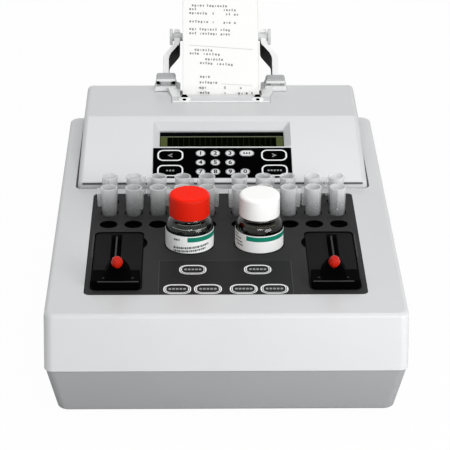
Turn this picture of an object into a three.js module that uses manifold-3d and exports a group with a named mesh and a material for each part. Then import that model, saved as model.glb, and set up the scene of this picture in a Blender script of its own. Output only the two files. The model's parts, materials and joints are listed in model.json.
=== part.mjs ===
// Benchtop coagulation analyzer with two measuring channels, an incubator tray and a built-in printer.
// Millimetres. X runs to the right, Y from the front to the back and Z up from the bench.
// Places are first worked out from the middle of the front face at bench level.
// At the end the whole group moves so that its origin lies under the middle of its bounding box.

import * as THREE from 'three';
import { mergeVertices } from 'three/addons/utils/BufferGeometryUtils.js';
import Module from 'manifold-3d';

const wasm = await Module();
wasm.setup();

// Heights of the body
const deckHeight = 75;
const humpRise = 26.3;
const coverSkirtHeight = 39.3;
const footHeight = 3;

// Clearances
const seamGap = 0.7;
const fitGap = 0.3;
const slideGap = 0.4;
const cutOverrun = 1;

// Top cover shell
const coverWall = 2.5;
const coverDraft = 0.8;
const coverCornerRadius = 6;
const coverEdgeRadius = 3;
const coverSideMargin = 24.6;
const humpSideMargin = 10;
const humpDraft = 1.9;
const humpEdgeRadius = 3.5;
const panelFrontMargin = 9.6;
const panelStep = 4.2;
const panelCreaseRadius = 5;
const footGrooveWidth = 1.6;
const footGrooveDepth = 1;

// Base housing
const baseWall = 2.5;
const baseTopInset = 0.8;
const baseTaper = 7;
const baseEdgeRadius = 2;
const lipHeight = 3;
const lipWall = 1.5;
const standoffRadius = 3.5;
const standoffBoreRadius = 1.3;
const standoffHeight = 5;

// Feet
const footRadius = 7;
const footTopRadius = 6;
const footInset = 24;

// Working tray
const trayFrontY = 29.2;
const trayBackMargin = 7.6;
const traySideMargin = 6.2;
const trayCornerRadius = 2.5;
const trayThickness = 2.7;
const trayLedgeWidth = 3;
const trayLedgeThickness = 1.6;

// Cuvettes
const cuvetteRise = 19.2;
const cuvetteTopRadius = 5.75;
const cuvetteFootRadius = 4.9;
const cuvetteWall = 0.9;
const cuvetteFloor = 1.5;
const cuvetteRimHeight = 1;
const cuvetteRimOverhang = 0.25;
const cuvetteFinReach = 2.6;
const cuvetteFinThickness = 0.9;
const cuvetteFinLength = 14;

// Cuvette wells, each as wide as a cuvette and its clearance, with room for the fins between them
const wellClearance = 0.25;
const wellRadius = cuvetteTopRadius + wellClearance;
const wellDepth = 18;
const wellFirstColumnX = 11.3;
const wellColumns = 5;
const wellColumnGap = 2.75;
const wellColumnPitch = 2 * cuvetteTopRadius + cuvetteFinReach + wellColumnGap;
const wellRows = 3;
const wellRowGap = 4.6;
const wellRowPitch = 2 * cuvetteTopRadius + cuvetteFinReach + wellRowGap;
const wellOuterX = wellFirstColumnX + (wellColumns - 1) * wellColumnPitch + wellRadius;

// Widths that follow from the wells
const trayWidth = 2 * (wellOuterX + traySideMargin);
const humpWidth = trayWidth + 2 * humpSideMargin;
const coverWidth = trayWidth + 2 * coverSideMargin;

// Measuring channels
const bayWidth = 33;
const bayLength = 87.6;
const baySideMargin = 3.8;
const bayFrontMargin = 6.8;
const bayCentreX = trayWidth / 2 - baySideMargin - bayWidth / 2;
const bayFrontY = trayFrontY + bayFrontMargin;
const bayBackY = bayFrontY + bayLength;
const bayCornerRadius = 4;
const bayBlockHeight = 20;
const baySink = 0.8;
const bayGrooveOffset = 1.8;
const bayGrooveWidth = 6.9;
const bayGrooveDepth = 4;
const bayGrooveSetback = 18.5;
const bayGrooveBackMargin = 2.6;
const bayRibWidth = 1.6;
const bayRibDrop = 0.6;
const channelWellSetback = 10;
const channelWellRadius = wellRadius;
const channelWellDepth = 17;
const notchRadius = 13.6;
const notchReach = 2.6;
const notchBackMargin = 17.6;
const notchDepth = 1.8;

// Rows of wells behind the channels
const wellRowMargin = 6.2;
const wellFrontRowY = bayBackY + wellRowMargin + wellRadius;
const wellLastRowY = wellFrontRowY + (wellRows - 1) * wellRowPitch;
const trayBackY = wellLastRowY + wellRadius + trayBackMargin;

// Reagent vials
const vialCentreX = 23.3;
const vialRadius = 16;
const vialWellGap = 0.7;
const vialRowMargin = 7.9;
const vialCentreY = wellFrontRowY - wellRadius - vialRowMargin - vialWellGap - vialRadius;
const vialSeatDepth = 9;
const vialBodyRise = 15.5;
const vialShoulderRise = 20.5;
const vialNeckRadius = 11;
const vialNeckRise = 31;
const vialGlass = 1.4;
const vialFootRadius = 2.5;
const capRadius = 13.6;
const capBottomRise = 22;
const capTopRise = 37;
const capEdgeRadius = 2.2;

// Heating block
const blockHeight = 19;
const blockSideWall = 1.3;
const blockBackWall = 4.3;
const blockBayGap = 2.4;
const blockVialWall = 2.5;
const blockHalfWidth = wellOuterX + blockSideWall;
const blockBackY = wellLastRowY + wellRadius + blockBackWall;
const blockStepY = bayBackY + blockBayGap;
const blockFrontY = vialCentreY - vialRadius - vialWellGap - blockVialWall;
const blockFrontHalfWidth = vialCentreX + vialRadius + vialWellGap + blockVialWall;

// Sliding light shields
const shieldSideMargin = 1;
const shieldFrontMargin = 0.8;
const shieldLength = 17.2;
const shieldHeight = 6.3;
const shieldCornerRadius = 1.5;
const shieldTongueLength = 6;
const hoodOffset = 1;
const hoodHalfWidth = 8;
const hoodTopHalfWidth = 3.6;
const hoodShoulderRise = 2.4;
const hoodRise = 7.9;
const hoodFrontSetback = 1;
const hoodRidgeLength = 4;
const keelLength = 5;
const keelDepth = 2.4;
const knobRadius = 3.9;
const knobHeight = 10.2;
const knobSeatDepth = 2;
const knobAlongSlope = 11.3;
const knobFacets = 10;

// Channel keys in the tray
const channelKeyWidth = 15.4;
const channelKeyDepth = 11.2;
const channelKeyRise = 0.35;
const channelKeyCorner = 4;
const channelKeySeat = 2.2;
const keyFrontMargin = 7.65;
const keyRowPitch = 28.15;
const upperKeyX = 21.15;
const lowerInnerKeyX = 11.45;
const lowerOuterKeyX = 31.15;

// Menu keypad foil, measured up the slope from the panel's front edge
const keypadWidth = 99.4;
const keypadStart = 4.9;
const keypadLength = 33.1;
const keypadEnd = keypadStart + keypadLength;
const keypadThickness = 0.9;
const menuKeySideMargin = 12.4;
const menuKeyX = keypadWidth / 2 - menuKeySideMargin;
const menuKeyWidth = 19;
const menuKeyLength = 12.8;
const menuKeyUpperMargin = 8.8;
const menuKeyLowerMargin = 7.6;
const menuKeyCorner = 4;
const digitKeyWidth = 7.4;
const digitKeyLength = 6.9;
const digitColumnPitch = 10.6;
const digitFirstColumnX = -15.6;
const digitRowPitch = 10.15;
const digitTopMargin = 6.6;
const wideKeyWidth = 11;
const wideKeyX = 17.7;
const keyEmboss = 0.4;

// Display in the sloped panel, above the keypad
const displayHalfWidth = 50;
const displayKeypadGap = 1.3;
const displayLength = 28.7;
const displayStart = keypadEnd + displayKeypadGap;
const displayEnd = displayStart + displayLength;
const displayBevel = 4.7;
const displayFloorDepth = 4.9;
const displayBossMargin = 2.5;
const displayBossThickness = 1.4;
const lcdMargin = 2;
const lcdFrameThickness = 4;
const lcdGlassDrop = 0.8;
const lcdGlassMargin = 0.6;
const lcdGlassLength = 12.8;
const lcdGlassSideMargin = 0.5;
const lcdBoardThickness = 1.6;
const lcdBoardMargin = 5;

// Places along the body that follow from the tray and the panel
const displayTopMargin = 7.03;
const panelLength = displayEnd + displayTopMargin;
const panelRun = Math.sqrt(panelLength ** 2 - (humpRise - panelStep) ** 2);
const panelFrontY = trayBackY + panelFrontMargin;
const panelTopY = panelFrontY + panelRun;

// Printer
const webWidth = 57.5;
const webThickness = 0.35;
const slotSideMargin = 1.85;
const slotHalfWidth = webWidth / 2 + slotSideMargin;
const bezelSideMargin = 6.4;
const bezelHalfWidth = slotHalfWidth + bezelSideMargin;
const bezelFrontMargin = 25.1;
const bezelLength = 38.3;
const bezelFrontY = panelTopY + bezelFrontMargin;
const coverDepth = bezelFrontY + bezelLength;
const bezelProud = 1;
const bezelDepth = 8;
const bezelLip = 2.5;
const bezelWall = 2.3;
const bezelSillHeight = 2.8;
const tearBarLength = 5;
const tearBarRise = 0.9;
const webSetback = 13.1;
const webFrontY = bezelFrontY + webSetback;
const platenRadius = 5;
const platenAxleRadius = 1.6;
const platenTopDrop = 0.6;
const platenEndGap = 0.25;
const platenLength = webWidth - 2 * platenEndGap;
const cradleWall = 1;
const cradleBaseHeight = 9;
const cradleBaseGap = 3.4;
const cradleDepth = 22;
const headThickness = 1.9;
const headTopDrop = 3.2;
const webRise = 1;
const webBendRadius = 12;
const webLean = 44;
const webFreeLength = 96;

// Paper roll and its arms
const rollRadius = 17;
const rollBoreRadius = 3.4;
const rollAlongArm = 35.4;
const rollBelowArm = 2.5;
const armLean = 38;
const armThickness = 4.6;
const armDepth = 20;
const armRootMargin = 4.4;
const armWebGap = 2.15;
const armRootX = bezelHalfWidth + armRootMargin;
const armTipX = webWidth / 2 + armWebGap + armThickness / 2;
const armSetback = 4.5;
const armStartY = coverDepth - armSetback;
const armStartRise = 9.4;
const armJogStart = 17.2;
const armJogEnd = 28.2;
const armLength = 41.2;
const armBoreRadius = 3.4;
const earWidth = 17.6;
const earTopWidth = 15.2;
const earLength = 15;
const earFrontY = coverDepth - earLength;
const earHeight = 4;
const capBlockWidth = 14.4;
const capBlockDepth = 9.5;
const capBlockHeight = 3.4;
const capBlockRise = 7.4;
const tongueWidth = 7.6;
const tongueDepth = 6;
const tongueFoot = 1.2;
const pinRadius = 3.1;
const pinReach = 9;
const pinDiscRadius = 6.2;
const pinDiscGap = 1;
const pinDiscThickness = 2.2;

// Main circuit board
const boardWidth = 150;
const boardDepth = 110;
const boardThickness = 1.6;
const boardBackMargin = 51.5;
const boardCentreY = coverDepth - boardBackMargin - boardDepth / 2;
const boardPartHeight = 9;

// Rear connections
const rearRowRise = 20.3;
const inletX = -72;
const inletFlangeRadius = 8;
const inletBodyRadius = 5.6;
const inletBoreRadius = 3.1;
const inletPinRadius = 1;
const inletDepth = 14;
const flangeThickness = 1.6;
const switchX = -46;
const switchBodyWidth = 13;
const switchBodyHeight = 19.6;
const switchFlange = 2;
const switchWall = 1.2;
const switchDepth = 12;
const rockerThrow = 16;
const rockerGap = 0.9;
const rockerPivotDepth = 2.2;
const rockerDepth = 4.6;
const rockerCrown = 2.4;
const serialX = 28;
const serialShellWidth = 17;
const serialShellHeight = 9.2;
const serialFlangeWidth = 31;
const serialFlangeHeight = 12.6;
const serialShellReach = 5.5;
const serialBodyDepth = 9;

// Facet counts
const roundFacets = 18;
const wellFacets = 10;
const boreFacets = 8;
const cuvetteFacets = 10;
const cornerFacets = 2;
const edgeFacets = 3;
const keyFacets = 1;
const footFacets = 12;

// Heights that follow from the sizes above
const humpTop = deckHeight + humpRise;
const coverBottom = deckHeight - coverSkirtHeight;
const baseTop = coverBottom - seamGap;
const rearRowHeight = coverBottom + rearRowRise;
const trayBottom = deckHeight - trayThickness;
const wellFloor = deckHeight - wellDepth;
const panelSlope = Math.atan2(humpRise - panelStep, panelTopY - panelFrontY);
const panelFrontZ = deckHeight + panelStep;

// Materials
const paint = (color, roughness, metalness = 0, opacity = 1) => new THREE.MeshStandardMaterial({
  color, roughness, metalness, opacity, transparent: opacity < 1,
});
const materials = {
  cover: paint(0xd6d8d9, 0.45),
  base: paint(0x9b9d9f, 0.55),
  tray: paint(0x2c2d2f, 0.6),
  black: paint(0x0d0d0e, 0.45),
  rubber: paint(0x1b1b1c, 0.9),
  anodised: paint(0x151516, 0.5),
  keypad: paint(0x0a0a0b, 0.4),
  lcd: paint(0x2a2f1a, 0.3),
  board: paint(0x1c5a33, 0.6),
  paper: paint(0xf6f6f3, 0.85),
  printer: paint(0x8c8f92, 0.4, 0.6),
  bezel: paint(0xc9cbcc, 0.45),
  red: paint(0xd8301a, 0.4),
  white: paint(0xf1f1ee, 0.4),
  glass: paint(0xdfe6e4, 0.05, 0, 0.4),
  amberGlass: paint(0x4b4a25, 0.05, 0, 0.7),
  cuvette: paint(0xeef0ee, 0.35, 0, 0.55),
  key: paint(0x18191a, 0.45),
};

// Basic solids and the joins and cuts between them
const withoutExtras = (geometry) => {
  const bare = geometry.index ? geometry.toNonIndexed() : geometry.clone();
  bare.deleteAttribute('normal');
  bare.deleteAttribute('uv');
  return mergeVertices(bare, 1e-4);
};

const solid = (geometry) => {
  const merged = withoutExtras(geometry);
  return new wasm.Manifold(new wasm.Mesh({
    numProp: 3,
    vertProperties: new Float32Array(merged.attributes.position.array),
    triVerts: new Uint32Array(merged.index.array),
  }));
};

const geometryOf = (manifold) => {
  const mesh = manifold.getMesh();
  const geometry = new THREE.BufferGeometry();
  geometry.setAttribute('position', new THREE.BufferAttribute(new Float32Array(mesh.vertProperties), 3));
  geometry.setIndex(new THREE.BufferAttribute(new Uint32Array(mesh.triVerts), 1));
  geometry.computeVertexNormals();
  return geometry;
};

const join = (...pieces) => pieces.reduce((sum, piece) => sum.add(piece));
const cut = (body, ...tools) => tools.reduce((rest, tool) => rest.subtract(tool), body);

const block = (width, depth, height, x, y, zBottom) => solid(
  new THREE.BoxGeometry(width, depth, height).translate(x, y, zBottom + height / 2),
);

const upright = (radius, height, x, y, zBottom, facets = roundFacets) => solid(
  new THREE.CylinderGeometry(radius, radius, height, facets)
    .rotateX(Math.PI / 2)
    .translate(x, y, zBottom + height / 2),
);

const alongX = (radius, length, xStart, y, z, facets = roundFacets) => solid(
  new THREE.CylinderGeometry(radius, radius, length, facets)
    .rotateZ(-Math.PI / 2)
    .translate(xStart + length / 2, y, z),
);

const alongY = (radius, length, x, yStart, z, facets = roundFacets) => solid(
  new THREE.CylinderGeometry(radius, radius, length, facets).translate(x, yStart + length / 2, z),
);

const roundedRectangle = (width, depth, radius) => {
  const shape = new THREE.Shape();
  const right = width / 2;
  const back = depth / 2;
  shape.moveTo(radius - right, -back);
  shape.absarc(right - radius, radius - back, radius, -Math.PI / 2, 0);
  shape.absarc(right - radius, back - radius, radius, 0, Math.PI / 2);
  shape.absarc(radius - right, back - radius, radius, Math.PI / 2, Math.PI);
  shape.absarc(radius - right, radius - back, radius, Math.PI, 1.5 * Math.PI);
  return shape;
};

const slab = (width, depth, radius, height, x, y, zBottom) => solid(
  new THREE.ExtrudeGeometry(roundedRectangle(width, depth, radius), {
    depth: height,
    bevelEnabled: false,
    curveSegments: cornerFacets,
  }).translate(x, y, zBottom),
);

const lathe = (profile, x, y, z, facets = roundFacets) => solid(
  new THREE.LatheGeometry(profile.map(([radius, height]) => new THREE.Vector2(radius, height)), facets)
    .rotateX(Math.PI / 2)
    .translate(x, y, z),
);

// A closed outline in the YZ plane becomes a solid that runs along X from one side to the other.
const sideProfile = (shape, width, xCentre = 0) => {
  const geometry = new THREE.ExtrudeGeometry(shape, {
    depth: width,
    bevelEnabled: false,
    curveSegments: cornerFacets,
  });
  const axes = new THREE.Matrix4().makeBasis(
    new THREE.Vector3(0, 1, 0),
    new THREE.Vector3(0, 0, 1),
    new THREE.Vector3(1, 0, 0),
  );
  return solid(geometry.applyMatrix4(axes).translate(xCentre - width / 2, 0, 0));
};

// Straight runs joined by rounded corners: each corner is [first, second, corner cut].
const roundedOutline = (corners) => {
  const shape = new THREE.Shape();
  corners.forEach(([a, b, reach], index) => {
    const before = corners[(index + corners.length - 1) % corners.length];
    const after = corners[(index + 1) % corners.length];
    const here = new THREE.Vector2(a, b);
    const toward = (other) => {
      const leg = new THREE.Vector2(other[0], other[1]).sub(here);
      return here.clone().add(leg.setLength(Math.min(reach, leg.length() / 2)));
    };
    const start = reach > 0 ? toward(before) : here;
    if (index === 0) {
      shape.moveTo(start.x, start.y);
    } else {
      shape.lineTo(start.x, start.y);
    }
    if (reach > 0) {
      const end = toward(after);
      shape.quadraticCurveTo(here.x, here.y, end.x, end.y);
    }
  });
  return shape;
};

// Closed loops with equally many points, one after the other, are skinned and capped at both ends.
// Each loop runs anticlockwise when looked at from the side that the loops advance to.
const skin = (loops, flatten) => {
  const count = loops[0].length;
  const index = [];
  for (let level = 0; level + 1 < loops.length; level += 1) {
    for (let i = 0; i < count; i += 1) {
      const a = level * count + i;
      const b = level * count + ((i + 1) % count);
      index.push(a, b, b + count);
      index.push(a, b + count, a + count);
    }
  }
  const capEnd = (level, facing) => {
    const flat = loops[level].map(flatten);
    THREE.ShapeUtils.triangulateShape(flat, []).forEach(([a, b, c]) => {
      const turn = THREE.ShapeUtils.area([flat[a], flat[b], flat[c]]) * facing;
      const first = level * count;
      index.push(first + a, first + (turn > 0 ? b : c), first + (turn > 0 ? c : b));
    });
  };
  capEnd(0, -1);
  capEnd(loops.length - 1, 1);
  const geometry = new THREE.BufferGeometry();
  const positions = loops.flat().flatMap((point) => point.toArray());
  geometry.setAttribute('position', new THREE.Float32BufferAttribute(positions, 3));
  geometry.setIndex(index);
  return solid(geometry);
};

const loopOf = (shape, facets) => {
  const points = shape.getPoints(facets);
  if (points[0].distanceTo(points[points.length - 1]) === 0) {
    points.pop();
  }
  return points;
};

// Rounded rectangles stacked from the bottom up.
const ringStack = (rings, yCentre) => skin(
  rings.map((ring) => loopOf(roundedRectangle(ring.width, ring.depth, ring.radius), cornerFacets)
    .map((point) => new THREE.Vector3(point.x, point.y + yCentre, ring.z))),
  (point) => new THREE.Vector2(point.x, point.y),
);

const analyzer = new THREE.Group();
analyzer.name = 'coagulation_analyzer';

const addPiece = (name, manifold, material) => {
  const mesh = new THREE.Mesh(geometryOf(manifold), material);
  mesh.name = name;
  analyzer.add(mesh);
};

const sides = [
  { name: 'left', sign: -1 },
  { name: 'right', sign: 1 },
];

// The sloped panel has its own frame: X across, S up the slope and N square to it, out of the panel.
const panelFrame = new THREE.Matrix4()
  .makeTranslation(0, panelFrontY, panelFrontZ)
  .multiply(new THREE.Matrix4().makeRotationX(panelSlope));

const onPanel = (geometry) => solid(geometry.applyMatrix4(panelFrame));

const panelSlab = (halfWidth, start, end, nBottom, nTop, radius) => onPanel(
  new THREE.ExtrudeGeometry(roundedRectangle(halfWidth * 2, end - start, radius), {
    depth: nTop - nBottom,
    bevelEnabled: false,
    curveSegments: cornerFacets,
  }).translate(0, (start + end) / 2, nBottom),
);

const shellRings = (inset, bottom) => {
  const top = deckHeight - inset;
  const edge = Math.max(coverEdgeRadius - inset, coverEdgeRadius / 4);
  const radius = Math.max(coverCornerRadius - inset, coverEdgeRadius);
  const rings = [{
    z: bottom,
    width: coverWidth - 2 * inset,
    depth: coverDepth - 2 * inset,
    radius,
  }];
  for (let step = 0; step <= edgeFacets; step += 1) {
    const angle = (step / edgeFacets) * (Math.PI / 2);
    const pull = 2 * (coverDraft + edge * (1 - Math.cos(angle)));
    rings.push({
      z: top - edge + edge * Math.sin(angle),
      width: coverWidth - 2 * inset - pull,
      depth: coverDepth - 2 * inset - pull,
      radius,
    });
  }
  return rings;
};

// The raised rear housing seen from the side: a small step, the sloped panel and the flat top.
const humpOutline = (inset, footZ) => {
  const drop = inset / Math.cos(panelSlope);
  const frontY = panelFrontY + inset;
  const frontZ = panelFrontZ + inset * Math.tan(panelSlope) - drop;
  const topZ = humpTop - inset;
  const creaseY = panelTopY + (drop - inset) / Math.tan(panelSlope);
  const backY = coverDepth - inset;
  const edge = Math.max(humpEdgeRadius - inset, coverEdgeRadius / 4);
  return roundedOutline([
    [frontY, footZ, 0],
    [frontY, frontZ, panelStep / 4],
    [creaseY, topZ, panelCreaseRadius],
    [backY, topZ, edge],
    [backY, footZ, 0],
  ]);
};

// Side outlines placed across the housing, drawn in toward both ends so that the long edges are round.
// The sides lean outward from the top to the foot.
const humpSolid = (inset, footZ) => {
  const half = humpWidth / 2 - inset;
  const edge = Math.max(humpEdgeRadius - inset, coverEdgeRadius / 4);
  const stations = [];
  for (let step = 0; step <= edgeFacets; step += 1) {
    const angle = (step / edgeFacets) * (Math.PI / 2);
    stations.push({ x: edge * (1 - Math.cos(angle)) - half, pull: edge * (1 - Math.sin(angle)) });
  }
  const mirrored = stations.map(({ x, pull }) => ({ x: -x, pull })).reverse();
  return skin(
    [...stations, ...mirrored].map(({ x, pull }) => loopOf(humpOutline(inset + pull, footZ), edgeFacets)
      .reverse()
      .map((point) => new THREE.Vector3(
        x + (Math.sign(x) * humpDraft * (humpTop - point.y)) / humpRise,
        point.x,
        point.y,
      ))),
    (point) => new THREE.Vector2(point.y, point.z),
  );
};

const displayFunnel = () => {
  const outer = { half: displayHalfWidth, start: displayStart, end: displayEnd };
  const inner = {
    half: displayHalfWidth - displayBevel,
    start: displayStart + displayBevel,
    end: displayEnd - displayBevel,
  };
  const stretch = (displayFloorDepth + cutOverrun) / displayFloorDepth;
  const grow = (value, base) => base + (value - base) * stretch;
  const corners = (half, start, end, n) => [
    [-half, start, n], [half, start, n], [half, end, n], [-half, end, n],
  ];
  const points = [
    ...corners(inner.half, inner.start, inner.end, -displayFloorDepth),
    ...corners(
      grow(outer.half, inner.half),
      grow(outer.start, inner.start),
      grow(outer.end, inner.end),
      cutOverrun,
    ),
  ];
  const geometry = new THREE.BufferGeometry();
  geometry.setAttribute('position', new THREE.Float32BufferAttribute(points.flat(), 3));
  geometry.setIndex([
    0, 2, 1, 0, 3, 2, 4, 5, 6, 4, 6, 7,
    0, 1, 5, 0, 5, 4, 1, 2, 6, 1, 6, 5,
    2, 3, 7, 2, 7, 6, 3, 0, 4, 3, 4, 7,
  ]);
  return onPanel(geometry);
};

const lcdFrameHalfWidth = displayHalfWidth - displayBevel + lcdMargin;
const lcdFrameStart = displayStart + displayBevel - lcdMargin;
const lcdFrameEnd = displayEnd - displayBevel + lcdMargin;
const lcdGlassHalfWidth = displayHalfWidth - displayBevel - lcdGlassSideMargin;
const lcdGlassStart = displayStart + displayBevel + lcdGlassMargin;
const lcdGlassEnd = lcdGlassStart + lcdGlassLength;

const makeTopCover = () => {
  const trayDepth = trayBackY - trayFrontY;
  const trayCentreY = (trayBackY + trayFrontY) / 2;
  const rebate = trayThickness + fitGap;
  const grooveLength = coverDepth - panelFrontY + footGrooveWidth + cutOverrun;
  const footGroove = slab(
    humpWidth + 2 * (humpDraft + footGrooveWidth),
    grooveLength,
    humpEdgeRadius + footGrooveWidth,
    footGrooveDepth + cutOverrun,
    0,
    panelFrontY - footGrooveWidth + grooveLength / 2,
    deckHeight - footGrooveDepth,
  );
  const outside = join(
    cut(ringStack(shellRings(0, coverBottom), coverDepth / 2), footGroove),
    humpSolid(0, deckHeight - coverWall),
  );
  const inside = join(
    ringStack(shellRings(coverWall, coverBottom - cutOverrun), coverDepth / 2),
    humpSolid(coverWall, deckHeight - 2 * coverWall),
  );
  const ledge = slab(
    trayWidth + 2 * trayLedgeWidth,
    trayDepth + 2 * trayLedgeWidth,
    trayCornerRadius,
    rebate + trayLedgeThickness - coverWall / 2,
    0,
    trayCentreY,
    deckHeight - rebate - trayLedgeThickness,
  );
  const trayPocket = slab(
    trayWidth,
    trayDepth,
    trayCornerRadius,
    rebate + cutOverrun,
    0,
    trayCentreY,
    deckHeight - rebate,
  );
  const trayThrough = slab(
    trayWidth - 2 * trayLedgeWidth,
    trayDepth - 2 * trayLedgeWidth,
    trayCornerRadius,
    rebate + trayLedgeThickness + 2 * cutOverrun,
    0,
    trayCentreY,
    deckHeight - rebate - trayLedgeThickness - cutOverrun,
  );
  const displayBoss = panelSlab(
    displayHalfWidth + displayBossMargin,
    displayStart - displayBossMargin,
    displayEnd + displayBossMargin,
    -displayFloorDepth - displayBossThickness,
    -coverWall / 2,
    displayBossMargin,
  );
  const displayThrough = panelSlab(
    displayHalfWidth - displayBevel,
    displayStart + displayBevel,
    displayEnd - displayBevel,
    -displayFloorDepth - displayBossThickness - cutOverrun,
    0,
    coverWall / 4,
  );
  const keypadPocket = panelSlab(
    keypadWidth / 2 + fitGap,
    keypadStart - fitGap,
    keypadEnd + fitGap,
    -keypadThickness - fitGap,
    cutOverrun,
    coverWall / 4,
  );
  const printerWell = block(
    bezelHalfWidth * 2,
    coverDepth - bezelFrontY + cutOverrun,
    bezelDepth + cutOverrun,
    0,
    (coverDepth + bezelFrontY + cutOverrun) / 2,
    humpTop - bezelDepth,
  );
  const rearWallY = coverDepth - coverWall - cutOverrun;
  const rearCutLength = coverWall + 2 * cutOverrun;
  const inletHole = alongY(inletBodyRadius + fitGap, rearCutLength, inletX, rearWallY, rearRowHeight);
  const switchHole = block(
    switchBodyWidth + 2 * fitGap,
    rearCutLength,
    switchBodyHeight + 2 * fitGap,
    switchX,
    rearWallY + rearCutLength / 2,
    rearRowHeight - switchBodyHeight / 2 - fitGap,
  );
  const serialHole = block(
    serialShellWidth + 2 * fitGap,
    rearCutLength,
    serialShellHeight + 2 * fitGap,
    serialX,
    rearWallY + rearCutLength / 2,
    rearRowHeight - serialShellHeight / 2 - fitGap,
  );
  const shell = join(cut(outside, inside), ledge, displayBoss);
  return cut(
    shell,
    trayPocket,
    trayThrough,
    displayFunnel(),
    displayThrough,
    keypadPocket,
    printerWell,
    inletHole,
    switchHole,
    serialHole,
  );
};

const boardMounts = [-1, 1].flatMap((across) => [-1, 1].map((along) => [
  across * (boardWidth / 2 - standoffRadius),
  boardCentreY + along * (boardDepth / 2 - standoffRadius),
]));

const makeBaseHousing = () => {
  const centreY = coverDepth / 2;
  const levels = (inset, bottom, top, edge) => {
    const rings = [];
    const rise = top - bottom;
    for (let step = 0; step <= edgeFacets; step += 1) {
      const angle = (step / edgeFacets) * (Math.PI / 2);
      const pull = 2 * (inset + baseTopInset + baseTaper + edge * (1 - Math.sin(angle)));
      rings.push({
        z: bottom + edge * (1 - Math.cos(angle)),
        width: coverWidth - pull + (2 * baseTaper * edge * (1 - Math.cos(angle))) / rise,
        depth: coverDepth - pull + (2 * baseTaper * edge * (1 - Math.cos(angle))) / rise,
        radius: coverCornerRadius - inset / 2,
      });
    }
    rings.push({
      z: top,
      width: coverWidth - 2 * (inset + baseTopInset),
      depth: coverDepth - 2 * (inset + baseTopInset),
      radius: coverCornerRadius - inset / 2,
    });
    return rings;
  };
  const outside = ringStack(levels(0, footHeight, baseTop, baseEdgeRadius), centreY);
  const inside = ringStack(
    levels(baseWall, footHeight + baseWall, baseTop + cutOverrun, baseEdgeRadius / 2),
    centreY,
  );
  const lipInset = coverWall + fitGap;
  const ring = (inset, bottom, top) => slab(
    coverWidth - 2 * inset,
    coverDepth - 2 * inset,
    coverCornerRadius - inset / 2,
    top - bottom,
    0,
    centreY,
    bottom,
  );
  const lipRoot = baseTop - lipHeight;
  const lip = cut(
    ring(lipInset, lipRoot, baseTop + lipHeight),
    ring(lipInset + lipWall, lipRoot - cutOverrun, baseTop + lipHeight + cutOverrun),
  );
  const floorTop = footHeight + baseWall;
  const standoffs = boardMounts.map(([x, y]) => cut(
    upright(standoffRadius, standoffHeight + baseWall / 2, x, y, floorTop - baseWall / 2, wellFacets),
    upright(standoffBoreRadius, standoffHeight, x, y, floorTop + cutOverrun, boreFacets),
  ));
  return join(cut(outside, inside), lip, ...standoffs);
};

const makeFoot = (x, y) => lathe([
  [0, 0],
  [footTopRadius, 0],
  [footRadius, (footHeight - fitGap) / 2],
  [footTopRadius, footHeight - fitGap],
  [0, footHeight - fitGap],
], x, y, 0, footFacets);

const wellPlaces = [];
for (let row = 0; row < wellRows; row += 1) {
  for (let column = 0; column < wellColumns; column += 1) {
    sides.forEach(({ name, sign }) => wellPlaces.push({
      side: name,
      row,
      column,
      x: sign * (wellFirstColumnX + column * wellColumnPitch),
      y: wellFrontRowY + row * wellRowPitch,
    }));
  }
}

const lowerKeyY = trayFrontY + keyFrontMargin;
const upperKeyY = lowerKeyY + keyRowPitch;
const channelKeys = sides.flatMap(({ name, sign }) => [
  { name: `${name}_incubate_key`, x: sign * upperKeyX, y: upperKeyY },
  { name: `${name}_reset_key`, x: sign < 0 ? -lowerOuterKeyX : lowerInnerKeyX, y: lowerKeyY },
  { name: `${name}_start_key`, x: sign < 0 ? -lowerInnerKeyX : lowerOuterKeyX, y: lowerKeyY },
]);

const bayCentreY = (bayFrontY + bayBackY) / 2;
const bayTop = deckHeight - baySink;
const bayGrooveX = bayCentreX + bayGrooveOffset;
const bayGrooveFrontY = bayFrontY + bayGrooveSetback;
const bayGrooveBackY = bayBackY - bayGrooveBackMargin;
const channelWellX = bayCentreX - hoodOffset;
const channelWellY = bayFrontY + channelWellSetback;
const notchY = bayBackY - notchBackMargin;

const makeWorkTray = () => {
  const plate = slab(
    trayWidth - 2 * fitGap,
    trayBackY - trayFrontY - 2 * fitGap,
    trayCornerRadius,
    trayThickness,
    0,
    (trayBackY + trayFrontY) / 2,
    trayBottom,
  );
  const throughHeight = trayThickness + 2 * cutOverrun;
  const throughBottom = trayBottom - cutOverrun;
  const wells = wellPlaces.map(({ x, y }) => upright(
    wellRadius, throughHeight, x, y, throughBottom, wellFacets,
  ));
  const vialWells = sides.map(({ sign }) => upright(
    vialRadius + vialWellGap, throughHeight, sign * vialCentreX, vialCentreY, throughBottom,
  ));
  const bays = sides.map(({ sign }) => slab(
    bayWidth, bayLength, bayCornerRadius, throughHeight, sign * bayCentreX, bayCentreY, throughBottom,
  ));
  const notches = sides.map(({ sign }) => upright(
    notchRadius,
    notchDepth + cutOverrun,
    sign * (bayCentreX - bayWidth / 2 - notchReach + notchRadius),
    notchY,
    deckHeight - notchDepth,
  ));
  const keyHoles = channelKeys.map(({ x, y }) => slab(
    channelKeyWidth + 2 * fitGap,
    channelKeyDepth + 2 * fitGap,
    channelKeyCorner,
    throughHeight,
    x,
    y,
    throughBottom,
  ));
  return cut(plate, ...wells, ...vialWells, ...bays, ...notches, ...keyHoles);
};

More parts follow.
